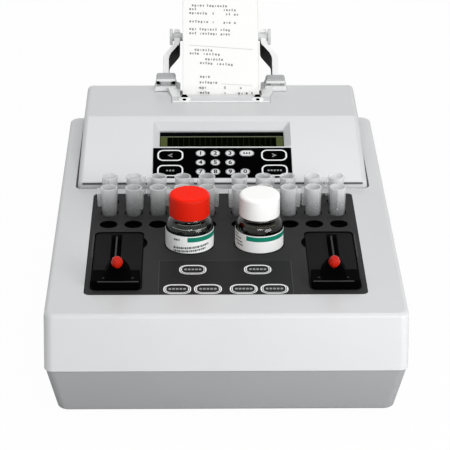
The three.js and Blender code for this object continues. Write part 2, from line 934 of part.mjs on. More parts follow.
const makeHeatingBlock = () => {
  const top = trayBottom - fitGap;
  const bottom = top - blockHeight;
  const rear = block(
    blockHalfWidth * 2,
    blockBackY - blockStepY,
    blockHeight,
    0,
    (blockBackY + blockStepY) / 2,
    bottom,
  );
  const front = block(
    blockFrontHalfWidth * 2,
    blockStepY - blockFrontY + cutOverrun,
    blockHeight,
    0,
    (blockStepY + blockFrontY + cutOverrun) / 2,
    bottom,
  );
  const bores = wellPlaces.map(({ x, y }) => upright(
    wellRadius, top - wellFloor + cutOverrun, x, y, wellFloor, boreFacets,
  ));
  const vialFloor = deckHeight - vialSeatDepth - fitGap;
  const vialBores = sides.map(({ sign }) => upright(
    vialRadius + vialWellGap, top - vialFloor + cutOverrun, sign * vialCentreX, vialCentreY, vialFloor,
  ));
  return cut(join(rear, front), ...bores, ...vialBores);
};

const makeCuvette = (x, y, turn) => {
  const foot = wellFloor + fitGap;
  const height = deckHeight + cuvetteRise - foot;
  const rimFoot = height - cuvetteRimHeight;
  const body = lathe([
    [0, 0],
    [cuvetteFootRadius, 0],
    [cuvetteTopRadius - cuvetteRimOverhang, rimFoot],
    [cuvetteTopRadius, rimFoot],
    [cuvetteTopRadius, height],
    [cuvetteTopRadius - cuvetteWall, height],
    [cuvetteFootRadius - cuvetteWall, cuvetteFloor],
    [0, cuvetteFloor],
  ], x, y, foot, cuvetteFacets);
  const finTop = foot + rimFoot + cuvetteRimHeight / 2;
  const finRoot = cuvetteFootRadius;
  const fin = solid(
    new THREE.BoxGeometry(
      cuvetteTopRadius - finRoot + cuvetteFinReach,
      cuvetteFinThickness,
      cuvetteFinLength,
    )
      .translate((cuvetteTopRadius + finRoot + cuvetteFinReach) / 2, 0, finTop - cuvetteFinLength / 2)
      .rotateZ(turn)
      .translate(x, y, 0),
  );
  const hollow = lathe([
    [0, cuvetteFloor],
    [cuvetteFootRadius - cuvetteWall, cuvetteFloor],
    [cuvetteTopRadius - cuvetteWall, height],
    [cuvetteTopRadius - cuvetteWall, height + cutOverrun],
    [0, height + cutOverrun],
  ], x, y, foot, cuvetteFacets);
  return cut(join(body, fin), hollow);
};

// Each cuvette stands turned by its own share of a full turn, from the outer column inwards.
const finTurnShares = {
  left_front: [0.5, 0.9, 0.02, 0.75, 0.98],
  left_rear: [0.76, 0.03, 0.52, 0.94, 0.6],
  right_front: [0.74, 0.47, 0.97, 0.7, 0.55],
  right_rear: [0.52, 0.98, 0.72, 0.05, 0.85],
};

const makeVial = (sign) => {
  const foot = deckHeight - vialSeatDepth;
  const up = (rise) => rise + vialSeatDepth;
  return lathe([
    [0, 0],
    [vialRadius - vialFootRadius, 0],
    [vialRadius, vialFootRadius],
    [vialRadius, up(vialBodyRise)],
    [vialRadius - vialGlass, up((vialBodyRise + vialShoulderRise) / 2)],
    [vialNeckRadius, up(vialShoulderRise)],
    [vialNeckRadius, up(vialNeckRise)],
    [vialNeckRadius - vialGlass, up(vialNeckRise)],
    [vialNeckRadius - vialGlass, up(vialShoulderRise) - vialGlass],
    [vialRadius - vialGlass, up(vialBodyRise) - vialGlass],
    [vialRadius - vialGlass, vialFootRadius],
    [vialRadius - vialFootRadius, vialGlass],
    [0, vialGlass],
  ], sign * vialCentreX, vialCentreY, foot);
};

const makeVialCap = (sign) => {
  const bottom = deckHeight + capBottomRise;
  const height = capTopRise - capBottomRise;
  const roof = vialNeckRise - capBottomRise + fitGap;
  const bore = vialNeckRadius + fitGap;
  return lathe([
    [bore, 0],
    [capRadius, 0],
    [capRadius, height - capEdgeRadius],
    [capRadius - capEdgeRadius / 3, height - capEdgeRadius / 3],
    [capRadius - capEdgeRadius, height],
    [0, height],
    [0, roof],
    [bore, roof],
    [bore, 0],
  ], sign * vialCentreX, vialCentreY, bottom);
};

const makeMeasuringBlock = (sign) => {
  const body = slab(
    bayWidth - 2 * fitGap,
    bayLength - 2 * fitGap,
    bayCornerRadius,
    bayBlockHeight,
    sign * bayCentreX,
    bayCentreY,
    bayTop - bayBlockHeight,
  );
  const grooveLength = bayGrooveBackY - bayGrooveFrontY;
  const groove = block(
    bayGrooveWidth,
    grooveLength,
    bayGrooveDepth + cutOverrun,
    sign * bayGrooveX,
    (bayGrooveBackY + bayGrooveFrontY) / 2,
    bayTop - bayGrooveDepth,
  );
  const rib = block(
    bayRibWidth,
    grooveLength + cutOverrun,
    bayGrooveDepth - bayRibDrop + cutOverrun,
    sign * bayGrooveX,
    (bayGrooveBackY + bayGrooveFrontY) / 2,
    bayTop - bayGrooveDepth - cutOverrun,
  );
  const well = upright(
    channelWellRadius,
    channelWellDepth + cutOverrun,
    sign * channelWellX,
    channelWellY,
    bayTop - channelWellDepth,
    wellFacets,
  );
  return cut(join(cut(body, groove), rib), well);
};

// The hood stands on the shield's plate: upright sides, a roof that slopes in to a narrow ridge,
// and a front that falls from the ridge to the plate's front edge. The knob stands square to that front.
const shieldBottom = bayTop + slideGap;
const shieldTop = shieldBottom + shieldHeight;
const shieldFrontY = bayFrontY + shieldFrontMargin;
const shieldBackY = shieldFrontY + shieldLength;
const hoodFrontY = shieldFrontY + hoodFrontSetback;
const hoodRun = shieldBackY - hoodRidgeLength - hoodFrontY;
const hoodSlope = Math.atan2(hoodRise, hoodRun);
const knobPlace = {
  y: hoodFrontY + knobAlongSlope * Math.cos(hoodSlope),
  z: shieldTop + knobAlongSlope * Math.sin(hoodSlope),
};

const onHoodFront = (profile, depth, x) => lathe(profile, 0, 0, -depth, knobFacets)
  .rotate([THREE.MathUtils.radToDeg(hoodSlope), 0, 0])
  .translate([x, knobPlace.y, knobPlace.z]);

// The knob's outline from its foot to its crown, as shares of its radius and its height.
const knobFootShare = 0.55;
const knobShares = [
  [0, 0],
  [knobFootShare, 0],
  [knobFootShare, 0.24],
  [0.88, 0.38],
  [1, 0.56],
  [0.86, 0.8],
  [0.5, 1],
  [0, 1],
];

const makeShield = (sign) => {
  const x = sign * channelWellX;
  const plate = slab(
    bayWidth - 2 * shieldSideMargin,
    shieldLength,
    shieldCornerRadius,
    shieldHeight,
    sign * bayCentreX,
    shieldFrontY + shieldLength / 2,
    shieldBottom,
  );
  const roof = roundedOutline([
    [-hoodHalfWidth, -shieldHeight / 2, 0],
    [hoodHalfWidth, -shieldHeight / 2, 0],
    [hoodHalfWidth, hoodShoulderRise, 0],
    [hoodTopHalfWidth, hoodRise, 0],
    [-hoodTopHalfWidth, hoodRise, 0],
    [-hoodHalfWidth, hoodShoulderRise, 0],
  ]);
  const across = solid(
    new THREE.ExtrudeGeometry(roof, { depth: shieldLength, bevelEnabled: false })
      .rotateX(Math.PI / 2)
      .translate(x, shieldBackY, shieldTop),
  );
  const front = roundedOutline([
    [hoodFrontY, shieldTop - shieldHeight, 0],
    [shieldBackY + cutOverrun, shieldTop - shieldHeight, 0],
    [shieldBackY + cutOverrun, shieldTop + hoodRise + cutOverrun, 0],
    [hoodFrontY + hoodRun, shieldTop + hoodRise + cutOverrun, 0],
    [hoodFrontY + hoodRun, shieldTop + hoodRise, 0],
    [hoodFrontY, shieldTop, 0],
  ]);
  const hood = across.intersect(sideProfile(front, 2 * hoodHalfWidth + cutOverrun, x));
  const keelWidth = (bayGrooveWidth - bayRibWidth) / 2 - 2 * slideGap;
  const keelX = bayRibWidth / 2 + slideGap + keelWidth / 2;
  const tongue = block(
    2 * keelX + keelWidth,
    shieldTongueLength + shieldCornerRadius,
    shieldHeight / 2,
    sign * bayGrooveX,
    shieldBackY + (shieldTongueLength - shieldCornerRadius) / 2,
    shieldBottom,
  );
  const keels = [-1, 1].map((side) => block(
    keelWidth,
    keelLength,
    keelDepth + slideGap + shieldHeight / 4,
    sign * bayGrooveX + side * keelX,
    shieldBackY + shieldTongueLength - keelLength / 2,
    bayTop - keelDepth,
  ));
  const stem = knobRadius * knobFootShare + fitGap;
  const socket = onHoodFront([
    [0, 0],
    [stem, 0],
    [stem, knobSeatDepth + cutOverrun],
    [0, knobSeatDepth + cutOverrun],
  ], knobSeatDepth, x);
  return cut(join(plate, hood, tongue, ...keels), socket);
};

const makeKnob = (sign) => onHoodFront(
  knobShares.map(([outShare, upShare]) => [outShare * knobRadius, upShare * knobHeight]),
  knobSeatDepth - fitGap,
  sign * channelWellX,
);

const makeChannelKey = (x, y) => slab(
  channelKeyWidth,
  channelKeyDepth,
  channelKeyCorner,
  channelKeyRise + channelKeySeat,
  x,
  y,
  deckHeight - channelKeySeat,
);

const makeKeypad = () => {
  const foil = panelSlab(
    keypadWidth / 2, keypadStart, keypadEnd, -keypadThickness, 0, coverWall / 4,
  );
  const pad = (x, s, width, length, corner) => onPanel(
    new THREE.ExtrudeGeometry(roundedRectangle(width, length, corner), {
      depth: keyEmboss + keypadThickness / 2,
      bevelEnabled: false,
      curveSegments: keyFacets,
    }).translate(x, s, -keypadThickness / 2),
  );
  const menuRows = [keypadEnd - menuKeyUpperMargin, keypadStart + menuKeyLowerMargin];
  const digitTopRowS = keypadEnd - digitTopMargin;
  const menuKeys = menuRows.flatMap((s) => [-1, 1].map((side) => pad(
    side * menuKeyX, s, menuKeyWidth, menuKeyLength, menuKeyCorner,
  )));
  const digitCorner = digitKeyLength / 2 - fitGap;
  const digitKeys = [0, 1, 2].flatMap((row) => [0, 1, 2].map((column) => pad(
    digitFirstColumnX + column * digitColumnPitch,
    digitTopRowS - row * digitRowPitch,
    digitKeyWidth,
    digitKeyLength,
    digitCorner,
  )));
  const zeroKey = pad(
    digitFirstColumnX + 3 * digitColumnPitch,
    digitTopRowS - 2 * digitRowPitch,
    digitKeyWidth,
    digitKeyLength,
    digitCorner,
  );
  const wideKey = pad(wideKeyX, digitTopRowS, wideKeyWidth, digitKeyLength, digitCorner);
  return join(foil, ...menuKeys, ...digitKeys, zeroKey, wideKey);
};

const makeLcdModule = () => {
  const top = -displayFloorDepth - displayBossThickness - fitGap;
  const frame = panelSlab(
    lcdFrameHalfWidth, lcdFrameStart, lcdFrameEnd, top - lcdFrameThickness, top, coverWall / 4,
  );
  const glassPocket = panelSlab(
    lcdGlassHalfWidth, lcdGlassStart, lcdGlassEnd, top - lcdGlassDrop, top + cutOverrun, coverWall / 4,
  );
  const circuit = panelSlab(
    lcdFrameHalfWidth + lcdMargin,
    lcdFrameStart - lcdBoardMargin,
    lcdFrameEnd + lcdBoardMargin,
    top - lcdFrameThickness - lcdBoardThickness,
    top - lcdFrameThickness + lcdGlassDrop,
    coverWall / 4,
  );
  return join(cut(frame, glassPocket), circuit);
};

const makeMainBoard = () => {
  const bottom = footHeight + baseWall + standoffHeight + fitGap;
  const plate = block(boardWidth, boardDepth, boardThickness, 0, boardCentreY, bottom);
  const partShares = [
    { x: -0.28, y: 0.22, width: 0.24, depth: 0.3, height: 1 },
    { x: 0.08, y: -0.1, width: 0.2, depth: 0.27, height: 0.35 },
    { x: 0.32, y: 0.25, width: 0.16, depth: 0.22, height: 0.7 },
    { x: -0.25, y: -0.28, width: 0.3, depth: 0.1, height: 0.6 },
  ];
  const parts = partShares.map((share) => block(
    share.width * boardWidth,
    share.depth * boardDepth,
    share.height * boardPartHeight + boardThickness / 2,
    share.x * boardWidth,
    boardCentreY + share.y * boardDepth,
    bottom + boardThickness / 2,
  ));
  return join(plate, ...parts);
};

const makePowerInlet = () => {
  const face = coverDepth + fitGap;
  const flange = alongY(inletFlangeRadius, flangeThickness, inletX, face, rearRowHeight);
  const body = alongY(inletBodyRadius, inletDepth, inletX, face - inletDepth + fitGap, rearRowHeight);
  const bore = alongY(
    inletBoreRadius,
    inletDepth,
    inletX,
    face - inletDepth + 2 * flangeThickness,
    rearRowHeight,
    wellFacets,
  );
  const pin = alongY(
    inletPinRadius,
    inletDepth - flangeThickness,
    inletX,
    face - inletDepth + flangeThickness,
    rearRowHeight,
    boreFacets,
  );
  return join(cut(join(flange, body), bore), pin);
};

const switchFace = coverDepth + fitGap + flangeThickness;

const makeSwitchFrame = () => {
  const flange = block(
    switchBodyWidth + 2 * switchFlange,
    flangeThickness,
    switchBodyHeight + 2 * switchFlange,
    switchX,
    switchFace - flangeThickness / 2,
    rearRowHeight - switchBodyHeight / 2 - switchFlange,
  );
  const body = block(
    switchBodyWidth,
    switchDepth + flangeThickness / 2,
    switchBodyHeight,
    switchX,
    switchFace - (switchDepth + flangeThickness * 1.5) / 2,
    rearRowHeight - switchBodyHeight / 2,
  );
  const cavity = block(
    switchBodyWidth - 2 * switchWall,
    switchDepth - switchWall + cutOverrun,
    switchBodyHeight - 2 * switchWall,
    switchX,
    switchFace + cutOverrun - (switchDepth - switchWall + cutOverrun) / 2,
    rearRowHeight - switchBodyHeight / 2 + switchWall,
  );
  return cut(join(flange, body), cavity);
};

const makeRocker = () => {
  const half = switchBodyHeight / 2 - switchWall - rockerGap;
  const outline = roundedOutline([
    [-rockerDepth, half / 3, 0],
    [-rockerDepth, -half / 3, 0],
    [-rockerPivotDepth, -half, 0],
    [rockerCrown, -half, rockerCrown / 3],
    [rockerCrown / 3, 0, rockerCrown],
    [rockerCrown, half, rockerCrown / 3],
    [-rockerPivotDepth, half, 0],
  ].reverse());
  const body = sideProfile(outline, switchBodyWidth - 2 * switchWall - 2 * slideGap);
  return body
    .translate([0, rockerPivotDepth, 0])
    .rotate([-rockerThrow / 2, 0, 0])
    .translate([switchX, switchFace - rockerPivotDepth, rearRowHeight]);
};

const makeSerialPort = () => {
  const face = coverDepth + fitGap;
  const flange = block(
    serialFlangeWidth,
    flangeThickness,
    serialFlangeHeight,
    serialX,
    face + flangeThickness / 2,
    rearRowHeight - serialFlangeHeight / 2,
  );
  const taper = serialShellHeight / 6;
  const dShape = roundedOutline([
    [-serialShellWidth / 2, serialShellHeight / 2, taper],
    [taper - serialShellWidth / 2, -serialShellHeight / 2, taper],
    [serialShellWidth / 2 - taper, -serialShellHeight / 2, taper],
    [serialShellWidth / 2, serialShellHeight / 2, taper],
  ]);
  const length = serialShellReach + flangeThickness + serialBodyDepth;
  const shell = solid(
    new THREE.ExtrudeGeometry(dShape, { depth: length, bevelEnabled: false, curveSegments: cornerFacets })
      .rotateX(Math.PI / 2)
      .translate(serialX, face + flangeThickness + serialShellReach, rearRowHeight),
  );
  return join(flange, shell);
};

const platenY = webFrontY + webThickness / 2 + slideGap + platenRadius;
const platenZ = humpTop - platenTopDrop - platenRadius;
const slotFrontY = webFrontY - webThickness / 2 - slideGap;

// The roll's axis lies between the arms, near their tips and just below their upper edges.
const armAngle = THREE.MathUtils.degToRad(armLean);
const armStartZ = humpTop + armStartRise;
const rollY = armStartY + rollAlongArm * Math.cos(armAngle) + rollBelowArm * Math.sin(armAngle);
const rollZ = armStartZ + rollAlongArm * Math.sin(armAngle) - rollBelowArm * Math.cos(armAngle);

const makePrinterBezel = () => {
  const bottom = humpTop - bezelDepth + fitGap;
  const depth = coverDepth - bezelFrontY - fitGap;
  const midY = bezelFrontY + fitGap + depth / 2;
  const frame = block(
    2 * (bezelHalfWidth - fitGap), depth, humpTop + bezelProud - bottom, 0, midY, bottom,
  );
  const underside = block(
    2 * (bezelHalfWidth - fitGap - bezelWall),
    depth - 2 * bezelWall,
    humpTop + bezelProud - bezelLip - bottom + cutOverrun,
    0,
    midY,
    bottom - cutOverrun,
  );
  const slotDepth = coverDepth - slotFrontY + cutOverrun;
  const slot = block(
    2 * slotHalfWidth,
    slotDepth,
    bezelDepth + bezelProud,
    0,
    slotFrontY + slotDepth / 2,
    bottom + bezelSillHeight,
  );
  const earDepth = coverDepth - earFrontY;
  const earTaper = (earWidth - earTopWidth) / 2;
  const ears = sides.map(({ sign }) => {
    const outline = new THREE.Shape();
    outline.moveTo(-earWidth / 2, fitGap);
    outline.lineTo(earWidth / 2, fitGap);
    outline.lineTo(earWidth / 2 - earTaper, earHeight);
    outline.lineTo(earTaper - earWidth / 2, earHeight);
    return solid(
      new THREE.ExtrudeGeometry(outline, { depth: earDepth, bevelEnabled: false })
        .rotateX(Math.PI / 2)
        .translate(sign * armRootX, coverDepth, humpTop),
    );
  });
  const earCheeks = sides.map(({ sign }) => {
    const inner = slotHalfWidth;
    const outer = armRootX;
    const rampStart = slotFrontY - bezelLip;
    const ramp = roundedOutline([
      [rampStart, humpTop + fitGap, 0],
      [coverDepth, humpTop + fitGap, 0],
      [coverDepth, humpTop + earHeight, 0],
      [earFrontY, humpTop + earHeight, 0],
      [rampStart, humpTop + bezelProud, 0],
    ]);
    return sideProfile(ramp, bezelHalfWidth - fitGap - inner, sign * (inner + bezelHalfWidth - fitGap) / 2)
      .add(block(
        (outer - inner) / 2,
        earDepth,
        earHeight - fitGap,
        sign * (outer + bezelHalfWidth) / 2,
        coverDepth - earDepth / 2,
        humpTop + fitGap,
      ));
  });
  const tearEdgeY = slotFrontY - headThickness / 2;
  const tearBar = sideProfile(roundedOutline([
    [tearEdgeY - tearBarLength, humpTop + bezelProud - fitGap, 0],
    [tearEdgeY, humpTop + bezelProud - fitGap, 0],
    [tearEdgeY, humpTop + bezelProud + tearBarRise, 0],
    [tearEdgeY - tearBarLength, humpTop + bezelProud + tearBarRise / 4, 0],
  ]), webWidth);
  const pockets = sides.map(({ sign }) => block(
    tongueWidth + 2 * fitGap,
    tongueDepth + 2 * fitGap,
    earHeight,
    sign * armRootX,
    armStartY - capBlockDepth / 2,
    humpTop + tongueFoot - fitGap,
  ));
  return cut(join(cut(frame, underside), ...ears, ...earCheeks, tearBar), slot, ...pockets);
};

const makePrinterMechanism = () => {
  const outerHalf = slotHalfWidth - fitGap;
  const baseBottom = platenZ - platenRadius - cradleBaseGap - cradleBaseHeight;
  const sillFront = coverDepth - bezelWall;
  const depth = Math.min(cradleDepth, 2 * (sillFront - fitGap - platenY));
  const base = block(2 * outerHalf, depth, cradleBaseHeight, 0, platenY, baseBottom);
  const cheekTop = humpTop - bezelLip + bezelProud - fitGap;
  const cheekDepth = 2 * (platenRadius + slideGap);
  const cheeks = sides.map(({ sign }) => block(
    cradleWall,
    cheekDepth,
    cheekTop - baseBottom,
    sign * (outerHalf - cradleWall / 2),
    platenY,
    baseBottom,
  ));
  const head = block(
    2 * outerHalf,
    headThickness,
    humpTop - headTopDrop - baseBottom,
    0,
    slotFrontY - headThickness / 2,
    baseBottom,
  );
  const headFoot = block(
    2 * outerHalf,
    platenY - slotFrontY + headThickness,
    cradleBaseHeight,
    0,
    (platenY + slotFrontY - headThickness) / 2,
    baseBottom,
  );
  const axleBore = alongX(
    platenAxleRadius + fitGap,
    2 * (outerHalf + cutOverrun),
    -outerHalf - cutOverrun,
    platenY,
    platenZ,
    boreFacets,
  );
  return cut(join(base, ...cheeks, head, headFoot), axleBore);
};

const makePlaten = () => join(
  alongX(platenRadius, platenLength, -platenLength / 2, platenY, platenZ),
  alongX(
    platenAxleRadius,
    2 * (slotHalfWidth - fitGap),
    fitGap - slotHalfWidth,
    platenY,
    platenZ,
    boreFacets,
  ),
);

// The paper runs off the roll, under the platen and up out of the slot, then leans back over the roll.
const webCentreLine = () => {
  const wrap = platenRadius + slideGap + webThickness / 2;
  const offRoll = rollRadius + slideGap + webThickness / 2;
  const across = rollY - platenY;
  const up = rollZ - platenZ;
  const span = Math.hypot(across, up);
  const feed = Math.atan2(up, across) - Math.asin((offRoll - wrap) / span);
  const line = [];
  const arc = (centreY, centreZ, radius, from, to, steps) => {
    for (let step = 0; step <= steps; step += 1) {
      const angle = from + ((to - from) * step) / steps;
      line.push(new THREE.Vector2(centreY + radius * Math.cos(angle), centreZ + radius * Math.sin(angle)));
    }
  };
  arc(rollY, rollZ, offRoll, feed - Math.PI / 2, feed - Math.PI / 2, 1);
  arc(platenY, platenZ, wrap, feed - Math.PI / 2, -Math.PI, wellFacets / 2);
  const lean = THREE.MathUtils.degToRad(webLean);
  const bendZ = humpTop + webRise;
  arc(webFrontY + webBendRadius, bendZ, webBendRadius, Math.PI, Math.PI / 2 + lean, wellFacets / 2);
  const last = line[line.length - 1];
  line.push(new THREE.Vector2(
    last.x + webFreeLength * Math.cos(lean),
    last.y + webFreeLength * Math.sin(lean),
  ));
  return line.filter((point, i) => i === 0 || point.distanceTo(line[i - 1]) > webThickness / 4);
};

const webLine = webCentreLine();

const makePaperWeb = () => {
  const offset = (side) => webLine.map((point, i) => {
    const before = webLine[Math.max(i - 1, 0)];
    const after = webLine[Math.min(i + 1, webLine.length - 1)];
    const along = after.clone().sub(before).normalize();
    return new THREE.Vector2(-along.y, along.x).multiplyScalar((side * webThickness) / 2).add(point);
  });
  const shape = new THREE.Shape([...offset(-1), ...offset(1).reverse()]);
  return sideProfile(shape, webWidth);
};

const makePaperRoll = () => cut(
  alongX(rollRadius, webWidth, -webWidth / 2, rollY, rollZ),
  alongX(rollBoreRadius, webWidth + 2 * cutOverrun, -webWidth / 2 - cutOverrun, rollY, rollZ, wellFacets),
);

const armOuterX = armTipX + armThickness / 2;

const makeRollPin = (sign) => {
  const tip = webWidth / 2 - pinReach;
  const discStart = armOuterX + pinDiscGap;
  const stem = alongX(
    pinRadius, discStart - tip + pinDiscThickness / 2, tip, rollY, rollZ, wellFacets,
  );
  const disc = alongX(pinDiscRadius, pinDiscThickness, discStart, rollY, rollZ);
  const pin = join(stem, disc);
  return sign > 0 ? pin : pin.mirror([1, 0, 0]);
};

const makeRollArm = (sign) => {
  const half = armThickness / 2;
  const rootIn = armRootX - half;
  const rootOut = armRootX + half;
  const tipIn = armTipX - half;
  const tipOut = armTipX + half;
  const bend = half;
  const outline = roundedOutline([
    [rootIn, 0, 0],
    [rootOut, 0, 0],
    [rootOut, armJogStart, bend],
    [tipOut, armJogEnd, bend],
    [tipOut, armLength, half / 2],
    [tipIn, armLength, half / 2],
    [tipIn, armJogEnd, bend],
    [rootIn, armJogStart, bend],
  ]);
  const sheet = solid(
    new THREE.ExtrudeGeometry(outline, { depth: armDepth, bevelEnabled: false, curveSegments: edgeFacets })
      .translate(0, 0, -armDepth)
      .rotateX(armAngle)
      .translate(0, armStartY, armStartZ),
  );
  const capBlock = block(
    capBlockWidth,
    capBlockDepth,
    capBlockHeight,
    armRootX,
    armStartY - capBlockDepth / 2 + cutOverrun,
    humpTop + capBlockRise,
  );
  const tongue = block(
    tongueWidth,
    tongueDepth,
    capBlockRise - tongueFoot + capBlockHeight / 2,
    armRootX,
    armStartY - capBlockDepth / 2,
    humpTop + tongueFoot,
  );
  const clearOfCover = block(
    capBlockWidth,
    armStartY,
    armDepth,
    armRootX,
    coverDepth + slideGap - armStartY / 2,
    humpTop + capBlockRise - armDepth,
  );
  const bore = alongX(
    armBoreRadius, armThickness + 2 * cutOverrun, tipIn - cutOverrun, rollY, rollZ, wellFacets,
  );
  const arm = cut(join(cut(sheet, clearOfCover), capBlock, tongue), bore);
  return sign > 0 ? arm : arm.mirror([1, 0, 0]);
};

// Housing
addPiece('base_housing', makeBaseHousing(), materials.base);
addPiece('top_cover', makeTopCover(), materials.cover);
const footBackY = coverDepth - footInset;
sides.forEach(({ name, sign }) => {
  const footX = sign * (coverWidth / 2 - footInset);
  addPiece(`front_${name}_foot`, makeFoot(footX, footInset), materials.rubber);
  addPiece(`rear_${name}_foot`, makeFoot(footX, footBackY), materials.rubber);
});

// Incubator and measuring channels
addPiece('work_tray', makeWorkTray(), materials.tray);
addPiece('heating_block', makeHeatingBlock(), materials.anodised);
sides.forEach(({ name, sign }) => {
  addPiece(`${name}_measuring_block`, makeMeasuringBlock(sign), materials.black);
  addPiece(`${name}_light_shield`, makeShield(sign), materials.black);
  addPiece(`${name}_shield_knob`, makeKnob(sign), materials.red);
});
channelKeys.forEach(({ name, x, y }) => addPiece(name, makeChannelKey(x, y), materials.key));

// Cuvettes stand in the two rear rows, and the front row of wells is empty
wellPlaces.filter(({ row }) => row > 0).forEach(({ side, row, column, x, y }) => {
  const rank = row === 1 ? 'front' : 'rear';
  const share = finTurnShares[`${side}_${rank}`][wellColumns - 1 - column];
  const number = column + 1;
  addPiece(`${side}_${rank}_cuvette_${number}`, makeCuvette(x, y, share * 2 * Math.PI), materials.cuvette);
});

// Reagent vials
addPiece('left_vial', makeVial(-1), materials.glass);
addPiece('left_vial_cap', makeVialCap(-1), materials.red);
addPiece('right_vial', makeVial(1), materials.amberGlass);
addPiece('right_vial_cap', makeVialCap(1), materials.white);

// Console and electronics
addPiece('menu_keypad', makeKeypad(), materials.keypad);
addPiece('lcd_module', makeLcdModule(), materials.lcd);
addPiece('main_board', makeMainBoard(), materials.board);
addPiece('power_inlet', makePowerInlet(), materials.black);
addPiece('switch_frame', makeSwitchFrame(), materials.black);
addPiece('power_rocker', makeRocker(), materials.black);
addPiece('serial_port', makeSerialPort(), materials.anodised);

// Printer and paper
addPiece('printer_bezel', makePrinterBezel(), materials.bezel);
addPiece('printer_mechanism', makePrinterMechanism(), materials.printer);
addPiece('platen_roller', makePlaten(), materials.rubber);
addPiece('paper_web', makePaperWeb(), materials.paper);
addPiece('paper_roll', makePaperRoll(), materials.paper);
sides.forEach(({ name, sign }) => {
  addPiece(`${name}_roll_pin`, makeRollPin(sign), materials.bezel);
  addPiece(`${name}_roll_arm`, makeRollArm(sign), materials.bezel);
});

const bounds = new THREE.Box3().setFromObject(analyzer, true);
analyzer.position.set(0, -(bounds.min.y + bounds.max.y) / 2, -bounds.min.z);

export default analyzer;
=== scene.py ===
# %% [markdown]
# A benchtop coagulation analyzer, dressed for its photograph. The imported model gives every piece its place
# and its size. This lesson builds a finer surface for each piece in that frame, one piece at a time, and
# gives each one a finish that is made from nodes.

# %% Load the frame
import json
import math

import bmesh
import bpy
from mathutils import Matrix, Vector
from mathutils.geometry import tessellate_polygon


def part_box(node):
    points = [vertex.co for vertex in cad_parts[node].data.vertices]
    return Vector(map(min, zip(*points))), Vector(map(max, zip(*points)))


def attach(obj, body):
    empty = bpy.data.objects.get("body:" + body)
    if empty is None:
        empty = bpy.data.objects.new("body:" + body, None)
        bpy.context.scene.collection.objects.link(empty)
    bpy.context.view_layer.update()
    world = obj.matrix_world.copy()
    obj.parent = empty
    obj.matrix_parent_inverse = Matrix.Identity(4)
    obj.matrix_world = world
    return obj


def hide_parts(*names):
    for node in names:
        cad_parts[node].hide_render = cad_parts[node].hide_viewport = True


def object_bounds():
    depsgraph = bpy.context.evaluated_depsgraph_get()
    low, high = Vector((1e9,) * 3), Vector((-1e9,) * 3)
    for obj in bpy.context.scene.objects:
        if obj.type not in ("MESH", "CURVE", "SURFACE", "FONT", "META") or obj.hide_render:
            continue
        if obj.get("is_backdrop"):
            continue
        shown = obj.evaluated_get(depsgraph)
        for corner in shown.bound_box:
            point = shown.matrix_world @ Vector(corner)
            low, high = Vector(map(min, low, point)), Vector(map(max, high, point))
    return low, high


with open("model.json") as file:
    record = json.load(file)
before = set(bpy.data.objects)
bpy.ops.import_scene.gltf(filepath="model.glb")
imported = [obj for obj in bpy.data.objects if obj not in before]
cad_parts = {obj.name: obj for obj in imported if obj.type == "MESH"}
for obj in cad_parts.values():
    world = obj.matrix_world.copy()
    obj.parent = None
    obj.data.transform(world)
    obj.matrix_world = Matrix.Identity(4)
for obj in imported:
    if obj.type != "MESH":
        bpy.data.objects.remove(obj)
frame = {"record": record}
cad_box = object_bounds()

# %% [markdown]
# The maker's drawing measures from the middle of the cover's front face, at the height of the bench, in
# millimetres. Blender works in metres from a point under the middle of the object. One small function
# turns the first into the second, so that each piece below can be written in the drawing's own numbers.
# The panel, the shields, the arms and the paper lean back, so a second one gives a sloped surface a frame.

# %% Measures that many pieces share
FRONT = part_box("top_cover")[0].y
SIDES = ((-1, "left"), (1, "right"))
DECK = 75.0
COVER_WIDTH, COVER_DEPTH, COVER_BOTTOM = 231.0, 331.5, 35.7
HUMP_TOP, HUMP_HALF, HUMP_DRAFT = 101.3, 100.9, 1.9
PANEL_Y, PANEL_Z, PANEL_TOP_Y = 196.4, 79.2, 268.1
SLOPE = math.atan2(HUMP_TOP - PANEL_Z, PANEL_TOP_Y - PANEL_Y)
TRAY_Y, TRAY_DEPTH, TRAY_WIDTH = 108.0, 157.6, 181.8
BAY_X, BAY_Y, GROOVE_X, HOOD_X = 70.6, 79.8, 72.4, 69.6
BOTTLE_X, BOTTLE_Y = 23.3, 105.2
DISPLAY_ALONG = 53.65
ARM_X, STUD_X, PAPER_HALF = 41.4, 27.4, 28.75
INLET_X, SWITCH_X, PORT_X, REAR_Z = -72, -46, 28, 56
ROLL, PLATEN = (356.4361, 130.5244), (311.876, 95.7)


def millimetres(x, y, z):
    return Vector((x / 1000, y / 1000 + FRONT, z / 1000))


def leaning(x, y, z, angle):
    """The frame of a slope whose foot is at x, y, z: across, up along the slope, and out of it."""
    def place(across, along, out):
        return (x + across, y + along * math.cos(angle) - out * math.sin(angle),
                z + along * math.sin(angle) + out * math.cos(angle))
    return place


on_panel = leaning(0, PANEL_Y, PANEL_Z, SLOPE)
print("the panel slopes", round(math.degrees(SLOPE), 1), "degrees")

# %% [markdown]
# The photograph looks down at the object by 25 degrees, almost straight from the front, through a long
# lens. The camera's three axes are worked out from its tilt, its turn and its small roll, and go into its
# matrix as columns.

